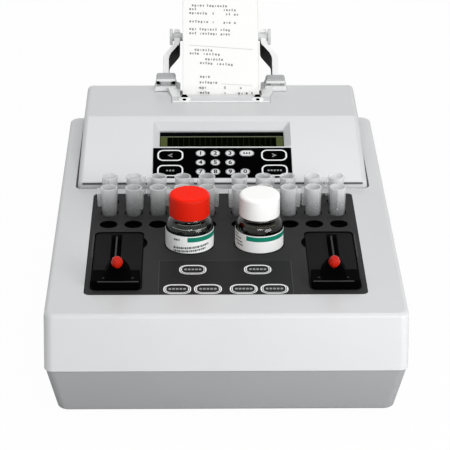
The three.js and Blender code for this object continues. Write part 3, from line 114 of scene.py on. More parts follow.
# %% Camera
tilt, turn, roll = (math.radians(angle) for angle in (25.06, 0.88, 0.21))
ahead = Vector((math.sin(turn) * math.cos(tilt), math.cos(turn) * math.cos(tilt), -math.sin(tilt)))
level = Vector((math.cos(turn), -math.sin(turn), 0))
over = level.cross(ahead)
right = level * math.cos(roll) + over * math.sin(roll)
up = over * math.cos(roll) - level * math.sin(roll)
lens = bpy.data.cameras.new("camera")
lens.lens, lens.sensor_width, lens.clip_end = 165.9, 36, 30
camera = bpy.data.objects.new("camera", lens)
camera.matrix_world = Matrix((right, up, -ahead)).transposed().to_4x4()
camera.location = (-0.0189, -1.3376, 0.6745)
bpy.context.scene.collection.objects.link(camera)
bpy.context.scene.camera = camera
print("camera", round(camera.location.length, 2), "m from the object")

# %% [markdown]
# Shader sums are easier to read as arithmetic. A Wire holds one output of a node, and its operators add
# the Math nodes. A Finish is one material: its node method makes any other node, sets its settings first
# and then its sockets, and hands back a Wire.

# %% Shader arithmetic
class Wire:
    def __init__(self, finish, socket):
        self.finish, self.socket = finish, socket

    def __add__(self, other):
        return self.finish.node("Math", {"operation": "ADD"}, {0: self, 1: other})

    def __mul__(self, other):
        return self.finish.node("Math", {"operation": "MULTIPLY"}, {0: self, 1: other})

    def clamp(self):
        return self.finish.node("Clamp", {}, {0: self})

    __radd__ = __add__
    __rmul__ = __mul__


class Finish:
    def __init__(self, owner):
        owner.use_nodes = True
        self.tree = owner.node_tree
        self.tree.nodes.clear()

    def node(self, kind, settings=None, sockets=None, out=0):
        made = self.tree.nodes.new("ShaderNode" + kind)
        for name, value in (settings or {}).items():
            setattr(made, name, value)
        for name, value in (sockets or {}).items():
            if isinstance(value, Wire):
                self.tree.links.new(value.socket, made.inputs[name])
            else:
                made.inputs[name].default_value = value
        return Wire(self, made.outputs[out])

    def end(self, kind, surface):
        made = self.tree.nodes.new("ShaderNodeOutput" + kind)
        self.tree.links.new(surface.socket, made.inputs["Surface"])


def tone(red, green, blue):
    """A colour as it is read off a screen, from 0 to 255, in the linear values that a shader takes."""
    return tuple(((v / 255 + 0.055) / 1.055) ** 2.4 if v > 10 else v / 255 / 12.92
                 for v in (red, green, blue)) + (1,)


print("a screen grey of 128 is", round(tone(128, 128, 128)[0], 3), "to a shader")

# %% [markdown]
# The photograph was taken in a bright white booth. The world gives an even fill, and is plain white to the
# camera, to reflections and to whatever is seen through glass. One soft lamp stands in front of the object,
# a smaller one on the right, where the photograph's front face is brighter, and a third hangs above and
# behind, which gives the sloped panel and the rounded front edge their sheen.

# %% Light and floor
FILL = 0.33
FLOOR_GLOW = 0.97
world = bpy.data.worlds.new("booth")
bpy.context.scene.world = world
booth = Finish(world)
camera_ray, glossy_ray, glass_ray = (
    booth.node("LightPath", out=name) for name in ("Is Camera Ray", "Is Glossy Ray", "Is Transmission Ray"))
strength = (camera_ray + glossy_ray + glass_ray).clamp() * (1 - FILL) + FILL
booth.end("World", booth.node("Background", {}, {"Color": (1, 1, 1, 1), "Strength": strength}))


def lamp(name, place, aim, size, watts):
    light = bpy.data.lights.new(name, "AREA")
    light.shape, light.size, light.size_y, light.energy = "RECTANGLE", size[0], size[1], watts
    holder = bpy.data.objects.new(name, light)
    holder.location = place
    holder.rotation_euler = (Vector(aim) - Vector(place)).to_track_quat("-Z", "Y").to_euler()
    bpy.context.scene.collection.objects.link(holder)


lamp("soft_box", (0.1, -1.4, 0.9), (0, -0.05, 0.05), (0.7, 0.25), 7)
lamp("side_box", (0.6, -0.75, 0.35), (0.05, -0.15, 0.05), (0.5, 0.4), 4.6)
lamp("top_box", (0, 0.5, 1.45), (0, 0, 0.05), (1.2, 0.6), 8.4)

floor_mesh = bpy.data.meshes.new("floor")
floor_mesh.from_pydata([(-4, -4, 0), (4, -4, 0), (4, 4, 0), (-4, 4, 0)], [], [(0, 1, 2, 3)])
floor = bpy.data.objects.new("floor", floor_mesh)
bpy.context.scene.collection.objects.link(floor)
paper_sweep = bpy.data.materials.new("paper_sweep")
sweep = Finish(paper_sweep)
matt = sweep.node("BsdfDiffuse", {}, {"Color": (0.8, 0.8, 0.8, 1)})
white = sweep.node("Emission", {}, {"Color": (1, 1, 1, 1), "Strength": 1.0})
to_camera = sweep.node("LightPath", out="Is Camera Ray") * FLOOR_GLOW
sweep.end("Material", sweep.node("MixShader", {}, {0: to_camera, 1: matt, 2: white}))
floor_mesh.materials.append(paper_sweep)
floor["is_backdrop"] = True
bpy.context.scene.view_settings.view_transform = "Standard"

# %% [markdown]
# Most pieces are injection moulded plastic. Its colour is even, with a faint cloudiness where the melt
# flowed, and its surface copies the fine grain that was etched into the mould. Both come from noise in
# object coordinates, so they stick to the piece. What is the same all over is set on the shader's socket.

# %% A recipe for moulded plastic
def blend_colours(finish, share, first, second):
    return finish.node("Mix", {"data_type": "RGBA"}, {0: share, 6: first, 7: second}, out=2)


def scaled(colour, factor):
    return tuple(channel * factor for channel in colour[:3]) + (1,)


def new_finish(name):
    """A material, its Finish and the piece's own coordinates, to which every pattern here is tied."""
    material = bpy.data.materials.new(name)
    finish = Finish(material)
    return material, finish, finish.node("TexCoord", out="Object")


def moulded(name, screen, roughness=0.45, cloud=0.03, grain=1600, relief=0.12, specular=0.35,
            metal=0.0, coat=0.0):
    material, finish, place = new_finish(name)
    colour = tone(*screen)
    flow = finish.node("TexNoise", {}, {"Vector": place, "Scale": 22.0, "Detail": 3.0})
    etch = finish.node("TexNoise", {}, {"Vector": place, "Scale": grain, "Detail": 2.0})
    finish.end("Material", finish.node("BsdfPrincipled", {}, {
        "Base Color": blend_colours(finish, flow, scaled(colour, 1 - cloud), scaled(colour, 1 + cloud)),
        "Roughness": etch * 0.12 + (roughness - 0.06),
        "Metallic": metal,
        "Specular IOR Level": specular,
        "Coat Weight": coat,
        "Coat Roughness": 0.08,
        "Normal": finish.node("Bump", {}, {"Strength": relief, "Distance": 0.0001, "Height": etch}),
    }))
    return material


light_grey = moulded("light_grey_cover", (209, 210, 211), 0.34, specular=0.4)
print("the cover's grey:", [round(channel, 3) for channel in tone(209, 210, 211)[:3]])

# %% [markdown]
# The same recipe serves every plastic and every print. After its colour, each one takes how rough it is, how
# cloudy its colour, how fine its grain, how deep the grain goes and how strongly it shines. The blacks shine
# very little, as a matt moulding does, or the white booth would turn them grey.

# %% Plastics and prints
# The panel's grey is a little lighter than the cover's: painted sheen.
panel_grey = moulded("panel_grey_painted_sheen", (215, 216, 217), 0.3, specular=0.5)
mid_grey = moulded("mid_grey_base", (155, 156, 157), 0.55, relief=0.25, specular=0.25)
# A dark grey for the thin slabs of painted shade in the groove round the housing and in the gap under the
# panel.
gap_shade_grey = moulded("painted_gap_shade", (96, 97, 98), 0.8, specular=0.05)
tray_black = moulded("charcoal_tray", (46, 46, 47), 0.6, 0.08, 1100, 0.3, 0.05)
# A lighter charcoal for the low bead beside each bay, as painted highlight.
bead_highlight = moulded("charcoal_tray_bead_highlight", (66, 66, 67), 0.5, 0.05, 1100, 0.2, 0.08)
film_black = moulded("overlay_film", (33, 33, 34), 0.45, 0.06, 2600, 0.1, 0.04)
# A faint light line round the overlay film is a painted highlight.
film_highlight = moulded("overlay_film_painted_highlight", (68, 68, 69), 0.5, 0.05, specular=0.05)
shield_black = moulded("black_shield", (4, 4, 4), 0.5, 0.1, 1400, 0.2, 0.003)
# A dark grey for painted highlights: the shield's front edge and the top of the groove's rib.
edge_highlight_grey = moulded("painted_edge_highlight", (62, 62, 62), 0.4, 0.1, 1400, 0.2, 0.05)
channel_black = moulded("black_channel", (20, 20, 21), 0.5, 0.08, 1200, 0.2, 0.02)
# A deep black for painted shade: hole walls, notch floors, groove floors, the studs' eyes and knuckles, and
# the left block's gaps.
recess_shade_black = moulded("painted_recess_shade", (3, 3, 3), 0.8, 0.1, 1200, 0.1, 0.01)
key_black = moulded("black_key", (30, 30, 31), 0.42, 0.08, 1800, 0.1, 0.05)
foil_black = moulded("keypad_foil_black", (4, 4, 5), 0.4, 0.1, 2600, 0.08, 0.0)
print_white = moulded("white_print", (240, 241, 241), 0.5, 0.02, specular=0.1)
disc_white = moulded("number_key_white", (218, 219, 220), 0.5, 0.02, specular=0.1)
print_grey = moulded("grey_print", (150, 151, 152), 0.5, 0.03, specular=0.1)
knob_red = moulded("red_knob", (182, 26, 8), 0.3, 0.06, specular=0.2)
cap_red = moulded("red_cap_plastic", (222, 34, 14), 0.4, 0.05, specular=0.1)
# The red cap's top is a brighter red as painted light from above.
cap_top_lit_red = moulded("red_cap_painted_lit_top", (255, 34, 8), 0.45, 0.03, specular=0.04)
cap_white = moulded("white_cap_plastic", (255, 255, 254), 0.3, 0.005, specular=0.5, coat=0.5)
trim_grey = moulded("printer_trim", (214, 215, 216), 0.4, specular=0.3)
# Black for the arms' inner faces, as painted shade.
arm_shade_black = moulded("arm_inner_painted_shade", (26, 26, 27), 0.6, 0.3, 300, specular=0.1)
trim_bright = moulded("printer_stud", (246, 246, 246), 0.35, specular=0.4)
# The ears' lighter grey is painted light, against the shade under the arm blocks.
ear_lit_grey = moulded("printer_ear_painted_light", (232, 233, 233), 0.5, specular=0.1)
block_grey = moulded("arm_block_grey", (178, 179, 180), 0.5, specular=0.1)
arm_light = moulded("arm_plastic", (238, 238, 238), 0.35, specular=0.4)
rubber = moulded("black_rubber", (24, 24, 25), 0.85, 0.1, 900, 0.5, 0.2)
connector_black = moulded("connector_black", (20, 20, 22), 0.5, 0.1, specular=0.3)
display_black = moulded("display_mask", (5, 5, 6), 0.2, 0.05, specular=0.0, relief=0.0)
display_grey = moulded("display_mask_streak", (42, 43, 44), 0.3, 0.05, specular=0.03, relief=0.0)
olive = moulded("display_olive", (70, 79, 36), 0.3, 0.1, specular=0.05, relief=0.0)
olive_dark = moulded("display_olive_dark", (27, 32, 20), 0.3, 0.1, specular=0.0, relief=0.0)
olive_line = moulded("display_olive_line", (104, 108, 88), 0.3, 0.1, specular=0.03, relief=0.0)
cell_black = moulded("display_cells", (4, 6, 2), 0.3, 0.05, specular=0.0, relief=0.0)
print(len(bpy.data.materials), "materials so far")

# %% [markdown]
# Metal, laminate and paper differ from plastic in what their noise does. A plated sheet has a metallic
# shine, an anodised block is matt black, a circuit board has a green lacquer over glass weave, and thermal
# paper is matt with soft fibres. Other numbers in the same recipe give all of them.

# %% Metal, laminate and paper
anodised = moulded("black_anodised_metal", (9, 9, 10), 0.5, 0.08, 700, 0.2, 0.03)
nickel = moulded("nickel_steel", (190, 190, 188), 0.25, 0.06, 500, 0.1, 0.5, metal=1.0)
laminate = moulded("board_lacquer", (30, 92, 52), 0.35, 0.15, 900, 0.2, 0.5, coat=0.4)
paper = moulded("thermal_paper", (250, 250, 248), 0.7, 0.012, 500, 0.3, 0.2)
ink = moulded("thermal_print", (112, 113, 115), 0.7, 0.15, 500, 0.1, 0.1)
worn_ink = moulded("worn_thermal_print", (140, 141, 143), 0.7, 0.15, 500, 0.1, 0.1)
# A faint grey for the strip's two rules, and for painted shade along its edges.
faint_ink_and_edge_shade = moulded("faint_print_and_edge_shade", (208, 209, 210), 0.7, 0.05, 500, 0.1, 0.1)
label_paper = moulded("label_paper", (252, 253, 252), 0.5, 0.01, 700, 0.1, 0.3)
label_green = moulded("label_green", (0, 128, 104), 0.5, 0.06, 700, 0.1, 0.3)
label_text = moulded("label_text_grey", (84, 88, 90), 0.5, 0.2, 700, 0.1, 0.3)
print(len(bpy.data.materials), "materials so far")

# %% [markdown]
# Cuvettes are pressed from cloudy polypropylene: light passes, but it is scattered. Four walls lie behind
# each other in every view, so a low alpha for each wall adds up to the milky look. A wall that is seen edge
# on is denser. The colour is painted darker towards the bottom as shade, so the upper part, which stands
# clear of the dark tray, is whiter. The reagent glass is real glass, one bottle clear and one brown, and each
# holds a dark reagent. The pale arcs on the front of each bottle are painted reflections.

# %% Cloudy plastic and glass
def see_through(name, screen, thin, thick, low, high, shade):
    """Opacity rises from thin to thick between two heights, in metres, and the colour from a darker painted
    shade to full.
    """
    material, finish, place = new_finish(name)
    colour = tone(*screen)
    height = finish.node("SeparateXYZ", {}, {0: place}, out="Z")
    rise = finish.node("MapRange", {}, {0: height, 1: low, 2: high, 3: 0.0, 4: 1.0})
    cloud = finish.node("TexNoise", {}, {"Vector": place, "Scale": 260.0, "Detail": 2.0})
    edge_on = finish.node("LayerWeight", {}, {"Blend": 0.2}, out="Facing")
    finish.end("Material", finish.node("BsdfPrincipled", {}, {
        "Base Color": blend_colours(finish, rise, scaled(colour, shade), colour),
        "Roughness": cloud * 0.1 + 0.25,
        "Alpha": (cloud * 0.02 + rise * (thick - thin) + thin + edge_on * 0.45).clamp(),
        "Specular IOR Level": 0.4,
    }))
    return material


def glass(name, screen):
    material, finish, place = new_finish(name)
    colour = tone(*screen)
    ripple = finish.node("TexNoise", {}, {"Vector": place, "Scale": 120.0, "Detail": 1.0})
    finish.end("Material", finish.node("BsdfPrincipled", {}, {
        "Base Color": blend_colours(finish, ripple, scaled(colour, 0.96), colour),
        "Roughness": 0.02,
        "Transmission Weight": 1.0,
        "IOR": 1.45,
    }))
    return material


# The cuvette's colour darkens towards the bottom as painted shade, and its rims and fin tips are painted
# highlight.
cloudy = see_through("cloudy_polypropylene", (242, 244, 245), 0.06, 0.38, 0.068, 0.093, 0.28)
cuvette_highlight_white = see_through("cuvette_painted_highlight", (236, 237, 238), 0.3, 0.45, 0.09, 0.094, 0.9)
clear_glass = glass("clear_bottle_glass", (246, 250, 249))
brown_glass = glass("brown_bottle_glass", (132, 124, 62))
reagent = moulded("dried_reagent", (10, 17, 13), 0.7, 0.2, specular=0.05)
brown_reagent = moulded("dark_reagent", (16, 16, 4), 0.6, 0.2, specular=0.05)
# Pale arcs for painted reflections on the bottles' shoulders.
pale_reflection_arc = moulded("painted_pale_reflection", (168, 176, 166), 0.7, 0.2, specular=0.05)
olive_reflection_arc = moulded("painted_olive_reflection", (176, 174, 118), 0.7, 0.2, specular=0.05)
print(len(bpy.data.materials), "materials in all")

# %% [markdown]
# Nearly every part here is a moulding that can be described by a few outlines. An outline is a function of
# how far it is drawn in, so that the same one gives a wall, its rounded edge and the pocket that it fits.

# %% Outlines
def quarter(steps):
    """A quarter turn in steps, each as how far it has come up and how far it has come in."""
    angles = [math.pi / 2 * i / steps for i in range(steps + 1)]
    return [(math.sin(a), 1 - math.cos(a)) for a in angles]


def rounded(width, depth, radius, x=0.0, y=0.0, steps=6):
    """A rounded rectangle."""
    def outline(inset=0.0):
        w, d, r = width / 2 - inset, depth / 2 - inset, max(radius - inset, 0.05)
        r = min(r, w - 0.01, d - 0.01)
        corners = ((w - r, r - d, -90), (w - r, d - r, 0), (r - w, d - r, 90), (r - w, r - d, 180))
        return [(x + cx + r * math.cos(math.radians(a + 90 * i / steps)),
                 y + cy + r * math.sin(math.radians(a + 90 * i / steps)))
                for cx, cy, a in corners for i in range(steps + 1)]
    return outline


def circle(radius, x=0.0, y=0.0, steps=40):
    def outline(inset=0.0):
        return [(x + (radius - inset) * math.cos(math.tau * i / steps),
                 y + (radius - inset) * math.sin(math.tau * i / steps)) for i in range(steps)]
    return outline


def polygon(*corners):
    """A straight-edged outline, anticlockwise, that is drawn in square to its edges."""
    def outline(inset=0.0):
        moved = []
        for i, here in enumerate(corners):
            a, b, c = Vector(corners[i - 1]), Vector(here), Vector(corners[(i + 1) % len(corners)])
            first, second = (b - a).normalized(), (c - b).normalized()
            inward = Vector((-first.y - second.y, first.x + second.x))
            inward /= max(inward.dot(Vector((-first.y, first.x))), 0.3)
            moved.append(tuple(b + inward * inset))
        return moved
    return outline


def drawn_in(outline, reach):
    return lambda inset=0.0: outline(inset + reach)


def softened(corners, steps=5):
    """Corners that are each rounded by a curve, which starts a reach away. A reach of 0 keeps one sharp."""
    points = []
    for i, (a, b, reach) in enumerate(corners):
        here = Vector((a, b))
        before, after = (Vector(corners[j][:2]) - here for j in (i - 1, (i + 1) % len(corners)))
        if reach == 0:
            points.append((a, b))
            continue
        start = here + before.normalized() * min(reach, before.length / 2)
        end = here + after.normalized() * min(reach, after.length / 2)
        for k in range(steps + 1):
            t = k / steps
            points.append(tuple(start * (1 - t) ** 2 + here * 2 * t * (1 - t) + end * t ** 2))
    return points


print("a round well has", len(circle(6)()), "points")

# %% [markdown]
# Outlines become closed solids in three ways: a plate with holes, loops that are skinned one after another,
# and a profile that is turned round an axis. All three end in one function that makes the mesh and points
# its faces outward. The plainest of them, such as a slab or a peg, have short names of their own.

# %% Solids
def form(name, points, faces, place=None):
    mesh = bpy.data.meshes.new(name)
    mesh.from_pydata([millimetres(*(place(*p) if place else p)) for p in points], [], faces)
    shaper = bmesh.new()
    shaper.from_mesh(mesh)
    bmesh.ops.recalc_face_normals(shaper, faces=shaper.faces)
    shaper.to_mesh(mesh)
    shaper.free()
    piece = bpy.data.objects.new(name, mesh)
    bpy.context.scene.collection.objects.link(piece)
    return piece


def skin(base, count):
    """The faces between a loop of points, from its first point's number on, and the next loop."""
    return [(base + i, base + (i + 1) % count, base + count + (i + 1) % count, base + count + i)
            for i in range(count)]


def plate(name, outline, bottom, top, holes=(), edge=0.4, steps=3, place=None, foot_edge=0.0):
    """A plate with holes. Its upper edges, round the outside and round each hole, are rounded by edge."""
    turns = quarter(steps) if edge > 0 else [(0, 0)]
    levels = [(bottom, 0)]
    if foot_edge:
        levels = [(bottom + foot_edge * inward, foot_edge * (1 - upward)) for upward, inward in turns]
    levels += [(top - edge + edge * upward, edge * inward) for upward, inward in turns]
    points, faces, caps = [], [], ([], [])
    for loop, grows in [(outline, 1)] + [(hole, -1) for hole in holes]:
        start, count = len(points), len(loop(0.0))
        for height, inset in levels:
            points += [(px, py, height) for px, py in loop(inset * grows)]
        for row in range(len(levels) - 1):
            faces += skin(start + row * count, count)
        caps[0].append(list(range(start, start + count)))
        caps[1].append(list(range(start + (len(levels) - 1) * count, start + len(levels) * count)))
    for rings in caps:
        order = [i for ring in rings for i in ring]
        if holes:
            triangles = tessellate_polygon([[Vector(points[i]) for i in ring] for ring in rings])
            faces += [tuple(order[i] for i in triangle) for triangle in triangles]
        else:
            faces.append(tuple(order))
    return form(name, points, faces, place)


def slab(name, outline, bottom, top, holes=(), place=None):
    return plate(name, outline, bottom, top, holes, edge=0, place=place)


def box(name, low, high, edge=0.3):
    width, depth = high[0] - low[0], high[1] - low[1]
    outline = rounded(width, depth, edge, (low[0] + high[0]) / 2, (low[1] + high[1]) / 2, 2)
    return plate(name, outline, low[2], high[2], (), edge, 2, None, edge)


def beam(name, x, half, deep, tall, edge=0.3):
    """A box that reaches equally far to both sides of x, with its two depths and its two heights."""
    return box(name, (x - half, deep[0], tall[0]), (x + half, deep[1], tall[1]), edge)


def loft(name, loops, place=None):
    """Loops with equally many points, skinned in turn and closed at both ends."""
    count, rows = len(loops[0]), len(loops)
    faces = [face for row in range(rows - 1) for face in skin(row * count, count)]
    faces += [tuple(range(count)), tuple(range((rows - 1) * count, rows * count))]
    return form(name, [p for loop in loops for p in loop], faces, place)


def stack(name, rings, place=None):
    """Level outlines, each with its height, skinned from one to the next."""
    return loft(name, [[(x, y, z) for x, y in outline()] for outline, z in rings], place)


def prism(name, outline, start, end):
    """A side view of points y and z, drawn across from one x to another."""
    return loft(name, [[(x, y, z) for y, z in outline] for x in (start, end)])


def turned(name, profile, centre, steps=48, axis="Z", place=None):
    """A profile of radius and height, turned round an axis. It starts and ends on it, or closes on itself."""
    closed = profile[0][0] > 0
    points, rings = [], []
    for radius, height in profile:
        around = 1 if radius == 0 else steps
        rings.append(list(range(len(points), len(points) + around)))
        for i in range(around):
            a = math.tau * i / steps
            across, along = radius * math.cos(a), radius * math.sin(a)
            spun = {"Z": (across, along, height), "X": (height, across, along),
                    "Y": (across, height, along)}[axis]
            points.append(tuple(c + s for c, s in zip(centre, spun)))
    faces = []
    pairs = list(zip(rings, rings[1:])) + ([(rings[-1], rings[0])] if closed else [])
    for low, high in pairs:
        for i in range(steps):
            j = i + 1
            corners = [low[i % len(low)], low[j % len(low)], high[j % len(high)], high[i % len(high)]]
            kept = list(dict.fromkeys(corners))
            if len(kept) > 2:
                faces.append(tuple(kept))
    return form(name, points, faces, place)


def peg(name, radius, low, high, centre, steps, axis="Z", place=None):
    """A plain cylinder, mostly the tool that cuts a bore."""
    return turned(name, [(0, low), (radius, low), (radius, high), (0, high)], centre, steps, axis, place)


print("a rounded edge takes", len(quarter(3)), "rings")

# %% [markdown]
# Solids are joined to and cut from each other, as a toolmaker builds up a mould. The last helpers give a
# piece its finish and let it ride on the body of its node. A piece that stands for a node hides that node,
# and an extra only lies on such a piece. Glass keeps its own smooth normals, because evened ones bend what is
# seen through a rounded shoulder.

# %% Joining and dressing
body_of = {node: body for body, nodes in frame["record"]["behaviour"]["bodies"].items() for node in nodes}


def settled(piece):
    """The piece with its modifiers worked into its mesh."""
    bpy.context.view_layer.update()
    mesh = bpy.data.meshes.new_from_object(piece.evaluated_get(bpy.context.evaluated_depsgraph_get()))
    piece.modifiers.clear()
    piece.data = mesh
    return piece


def combine(piece, operation, *tools):
    for tool in tools:
        step = piece.modifiers.new("step", "BOOLEAN")
        step.operation, step.solver, step.object = operation, "EXACT", tool
    settled(piece)
    for tool in tools:
        bpy.data.objects.remove(tool)
    return piece


def cut(piece, *tools):
    return combine(piece, "DIFFERENCE", *tools)


def join(piece, *tools):
    return combine(piece, "UNION", *tools)


def dress(piece, finish, node, stands_for=True, sharp=32, level=True):
    """Gives a piece its finish and shading, and lets it move with the node that it dresses or replaces."""
    piece.data.materials.clear()
    piece.data.materials.append(finish)
    piece.data.shade_smooth()
    piece.data.set_sharp_from_angle(angle=math.radians(sharp))
    if level:
        even = piece.modifiers.new("even_shading", "WEIGHTED_NORMAL")
        even.keep_sharp, even.weight = True, 80
    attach(piece, body_of[node])
    if stands_for:
        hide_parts(node)
    return piece


def extra(piece, finish, node):
    return dress(piece, finish, node, False)


def refinish(piece, finish, chosen):
    """Another finish for the faces that a test picks."""
    piece.data.materials.append(finish)
    for face in piece.data.polygons:
        if chosen(face):
            face.material_index = len(piece.data.materials) - 1


# %% [markdown]
# The top cover is one big injection moulding: a shallow box with drafted sides and soft upper edges, and
# behind the working deck a raised housing with a sloped front. The box is a stack of rounded rings. The
# housing is its own side profile, placed across the cover in many stations and drawn in at both ends, so
# its long edges are round. A smaller copy of both, cut away from below, leaves the wall.

# %% Top cover, its shell
def cover_outline(inset, radius, steps=8):
    return rounded(COVER_WIDTH - 2 * inset, COVER_DEPTH - 2 * inset, radius, 0, COVER_DEPTH / 2, steps)


def shell(inset, bottom):
    edge, radius = max(3 - inset, 0.75), max(6 - inset, 3)
    rings = [(0.0, bottom)] + [(0.8 + edge * inward, DECK - inset - edge + edge * upward)
                               for upward, inward in quarter(6)]
    return stack("shell", [(cover_outline(inset + pull, radius), z) for pull, z in rings])


def hump_profile(inset, foot):
    drop = inset / math.cos(SLOPE)
    front = PANEL_Z + inset * math.tan(SLOPE) - drop
    crease = PANEL_TOP_Y + (drop - inset) / math.tan(SLOPE)
    top, back = HUMP_TOP - inset, COVER_DEPTH - inset
    return softened([(PANEL_Y + inset, foot, 0), (PANEL_Y + inset, front, 1.4), (crease, top, 1.5),
                     (back, top, max(3.5 - inset, 0.75)), (back, foot, 0)])


def hump(inset, foot):
    half, edge = HUMP_HALF - inset, max(3.5 - inset, 0.75)
    stations = [(edge * inward - half, edge * (1 - upward)) for upward, inward in quarter(6)]
    stations += [(-x, pull) for x, pull in reversed(stations)]
    return loft("hump", [[(x + math.copysign(HUMP_DRAFT * (HUMP_TOP - z) / (HUMP_TOP - DECK), x), y, z)
                          for y, z in hump_profile(inset + pull, foot)] for x, pull in stations])


groove = slab("groove", rounded(208.8, 140, 5.1, 0, 194.8 + 70, 8), 74, 76)
cover = join(cut(shell(0, COVER_BOTTOM), groove), hump(0, DECK - 2.5))
hollow = join(shell(2.5, COVER_BOTTOM - 1), hump(2.5, DECK - 5))
cut(cover, hollow)
ledge = slab("ledge", rounded(TRAY_WIDTH + 6, TRAY_DEPTH + 6, 2.5, 0, TRAY_Y), 70.4, 73.75)
boss = slab("boss", rounded(105, 33.7, 2.5, 0, DISPLAY_ALONG), -6.3, -1.25, place=on_panel)
join(cover, ledge, boss)
print("shell:", len(cover.data.polygons), "faces")

# %% [markdown]
# Everything that the cover holds has its place cut into it: the tray's pocket over its ledge, the bevelled
# funnel down to the display, the shallow pocket for the keypad, the well for the printer and three holes in
# the back. The sloped panel is polished smoother than the rest and is painted a lighter grey as sheen, so its
# faces get a second material slot. The dark lines round the housing and under the panel are thin slabs of
# painted shade.

# %% Top cover, its openings
def panel_box(name, half, start, end, low, high):
    return slab(name, rounded(2 * half, end - start, 0.6, 0, (start + end) / 2), low, high, place=on_panel)


def funnel():
    """The display's bevelled recess, from its foot to a little above the panel."""
    rims = []
    for share in (0, 1.2):
        half, low, high = 45.3 + 4.7 * share, 44.0 - 4.7 * share, 63.3 + 4.7 * share
        rims.append((rounded(2 * half, high - low, 0.8 + share, 0, (low + high) / 2, 4), -4.9 + 4.9 * share))
    return stack("funnel", rims, on_panel)


cut(
    cover,
    slab("tray_pocket", rounded(TRAY_WIDTH, TRAY_DEPTH, 4, 0, TRAY_Y), 72.0, 76),
    slab("tray_way", rounded(TRAY_WIDTH - 6, TRAY_DEPTH - 6, 2.5, 0, TRAY_Y), 69, 76),
    funnel(),
    panel_box("display_way", 45.3, 44.0, 63.3, -7.3, 0),
    panel_box("keypad_pocket", 50, 4.6, 38.3, -1.2, 1),
    beam("panel_gap", 0, 99.5, (195, 197.1), (77.3, 78.9), 0.1),
    beam("printer_well", 0, 37, (293.2, 333), (93.3, 103), 0.1),
    peg("inlet_hole", 5.9, 327, 333, (INLET_X, 0, REAR_Z), 32, "Y"),
    beam("switch_hole", SWITCH_X, 6.8, (327, 333), (45.9, 66.1), 0.1),
    beam("serial_hole", PORT_X, 8.8, (327, 333), (51.1, 60.9), 0.1),
)
cover.name = "cover_moulding"
dress(cover, light_grey, "top_cover", sharp=28)
# The panel's faces get the lighter grey as painted sheen.
out_of_panel = Vector((0, -math.sin(SLOPE), math.cos(SLOPE)))
refinish(cover, panel_grey, lambda face: face.normal.dot(out_of_panel) > 0.9995)
# Thin dark slabs of painted shade lie in the groove round the housing and in the gap under the panel.
line = cut(slab("housing_shade_line", rounded(208.7, 136.6, 5.05, 0, 263.15, 8), 74, 74.06),
           slab("inside", rounded(205.9, 140, 3.6, 0, 266.3, 8), 73, 75))
extra(line, gap_shade_grey, "top_cover")
extra(beam("panel_gap_shade_line", 0, 99.4, (196.95, 197.1), (77.35, 78.85), 0.02), gap_shade_grey, "top_cover")
print("cover:", len(cover.data.polygons), "faces")

# %% [markdown]
# The base is a tray that tapers down to its feet. It is made as the real moulding is: an outer and an
# inner stack of rings, a lip that fits inside the cover, and four standoffs for the circuit board.

# %% Base housing
TAPER = 7


def base_stack(inset, bottom, top, edge):
    rings = []
    for upward, inward in quarter(5):
        rise = edge * inward
        rings.append((inset + 7.8 + edge * (1 - upward) - TAPER * rise / (top - bottom), bottom + rise))
    rings.append((inset + 0.8, top))
    return stack("base", [(cover_outline(pull, 6 - inset / 2), z) for pull, z in rings])


def lip_ring(inset, bottom, top):
    return slab("lip", cover_outline(inset, 6 - inset / 2, 6), bottom, top)


base = cut(base_stack(0, 3, 35, 2), base_stack(2.5, 5.5, 36, 1))
lip = cut(lip_ring(2.8, 32, 38), lip_ring(4.3, 31, 39))
POST = [(1.3, 6.5), (1.3, 10.5), (3.5, 10.5), (3.5, 4.5), (0, 4.5), (0, 6.5)]
posts = [turned("post", POST, (x, 225 + y, 0), 24) for x in (-71.5, 71.5) for y in (-51.5, 51.5)]
join(base, lip, *posts)
base.name = "base_moulding"
dress(base, mid_grey, "base_housing", sharp=28)
FOOT_PROFILE = [(0, 0), (5.6, 0), (6, 0.4), (7, 1.3), (6.6, 2.3), (6, 2.7), (0, 2.7)]
for side, word in SIDES:
    for end, y in (("front", 24), ("rear", 307.5)):
        node = f"{end}_{word}_foot"
        dress(turned(node + "_rubber", FOOT_PROFILE, (side * 91.5, y, 0)), rubber, node)
print("base:", len(base.data.polygons), "faces, on four feet")

# %% [markdown]
# The working tray is a dark plate let into the deck. Its many holes are what one looks at, and each has a
# soft lip that catches the light, so the plate is built from its outlines with a rounded edge round every
# hole. Hardly any light reaches the walls of the holes, so they are painted a deeper black as shade, and so
# are the floors of the two notches. The thin overlay film for the keys lies on the tray, a touch darker, and
# a faint line of painted highlight runs round it. A low bead beside each bay is lighter as painted highlight.

# %% Working tray
WELLS = [(side * (11.3 + 16.85 * column), 135.8 + 18.7 * row, side, column, row)
         for row in range(3) for column in range(5) for side in (-1, 1)]
KEYS = {
    "left_incubate_key": (-21.15, 65.0), "left_reset_key": (-31.15, 36.85), "left_start_key": (-11.45, 36.85),
    "right_incubate_key": (21.15, 65.0), "right_reset_key": (11.45, 36.85), "right_start_key": (31.15, 36.85),
}
key_holes = [rounded(16, 11.8, 4.3, x, y) for x, y in KEYS.values()]
tray_holes = [circle(6, x, y) for x, y, *_ in WELLS] + key_holes
tray_holes += [circle(16.7, side * BOTTLE_X, BOTTLE_Y, 64) for side, _ in SIDES]
bays = [rounded(33, 87.6, 4, side * BAY_X, BAY_Y, 8) for side, _ in SIDES]
sheet = rounded(TRAY_WIDTH - 0.6, TRAY_DEPTH - 0.6, 3.7, 0, TRAY_Y)
tray = plate("tray_plate", sheet, 72.3, DECK, tray_holes + bays, edge=0.5)
notches = [circle(13.6, side * 65.1, 106, 64) for side, _ in SIDES]
cut(tray, *[slab("notch", notch, 73.2, 76) for notch in notches])
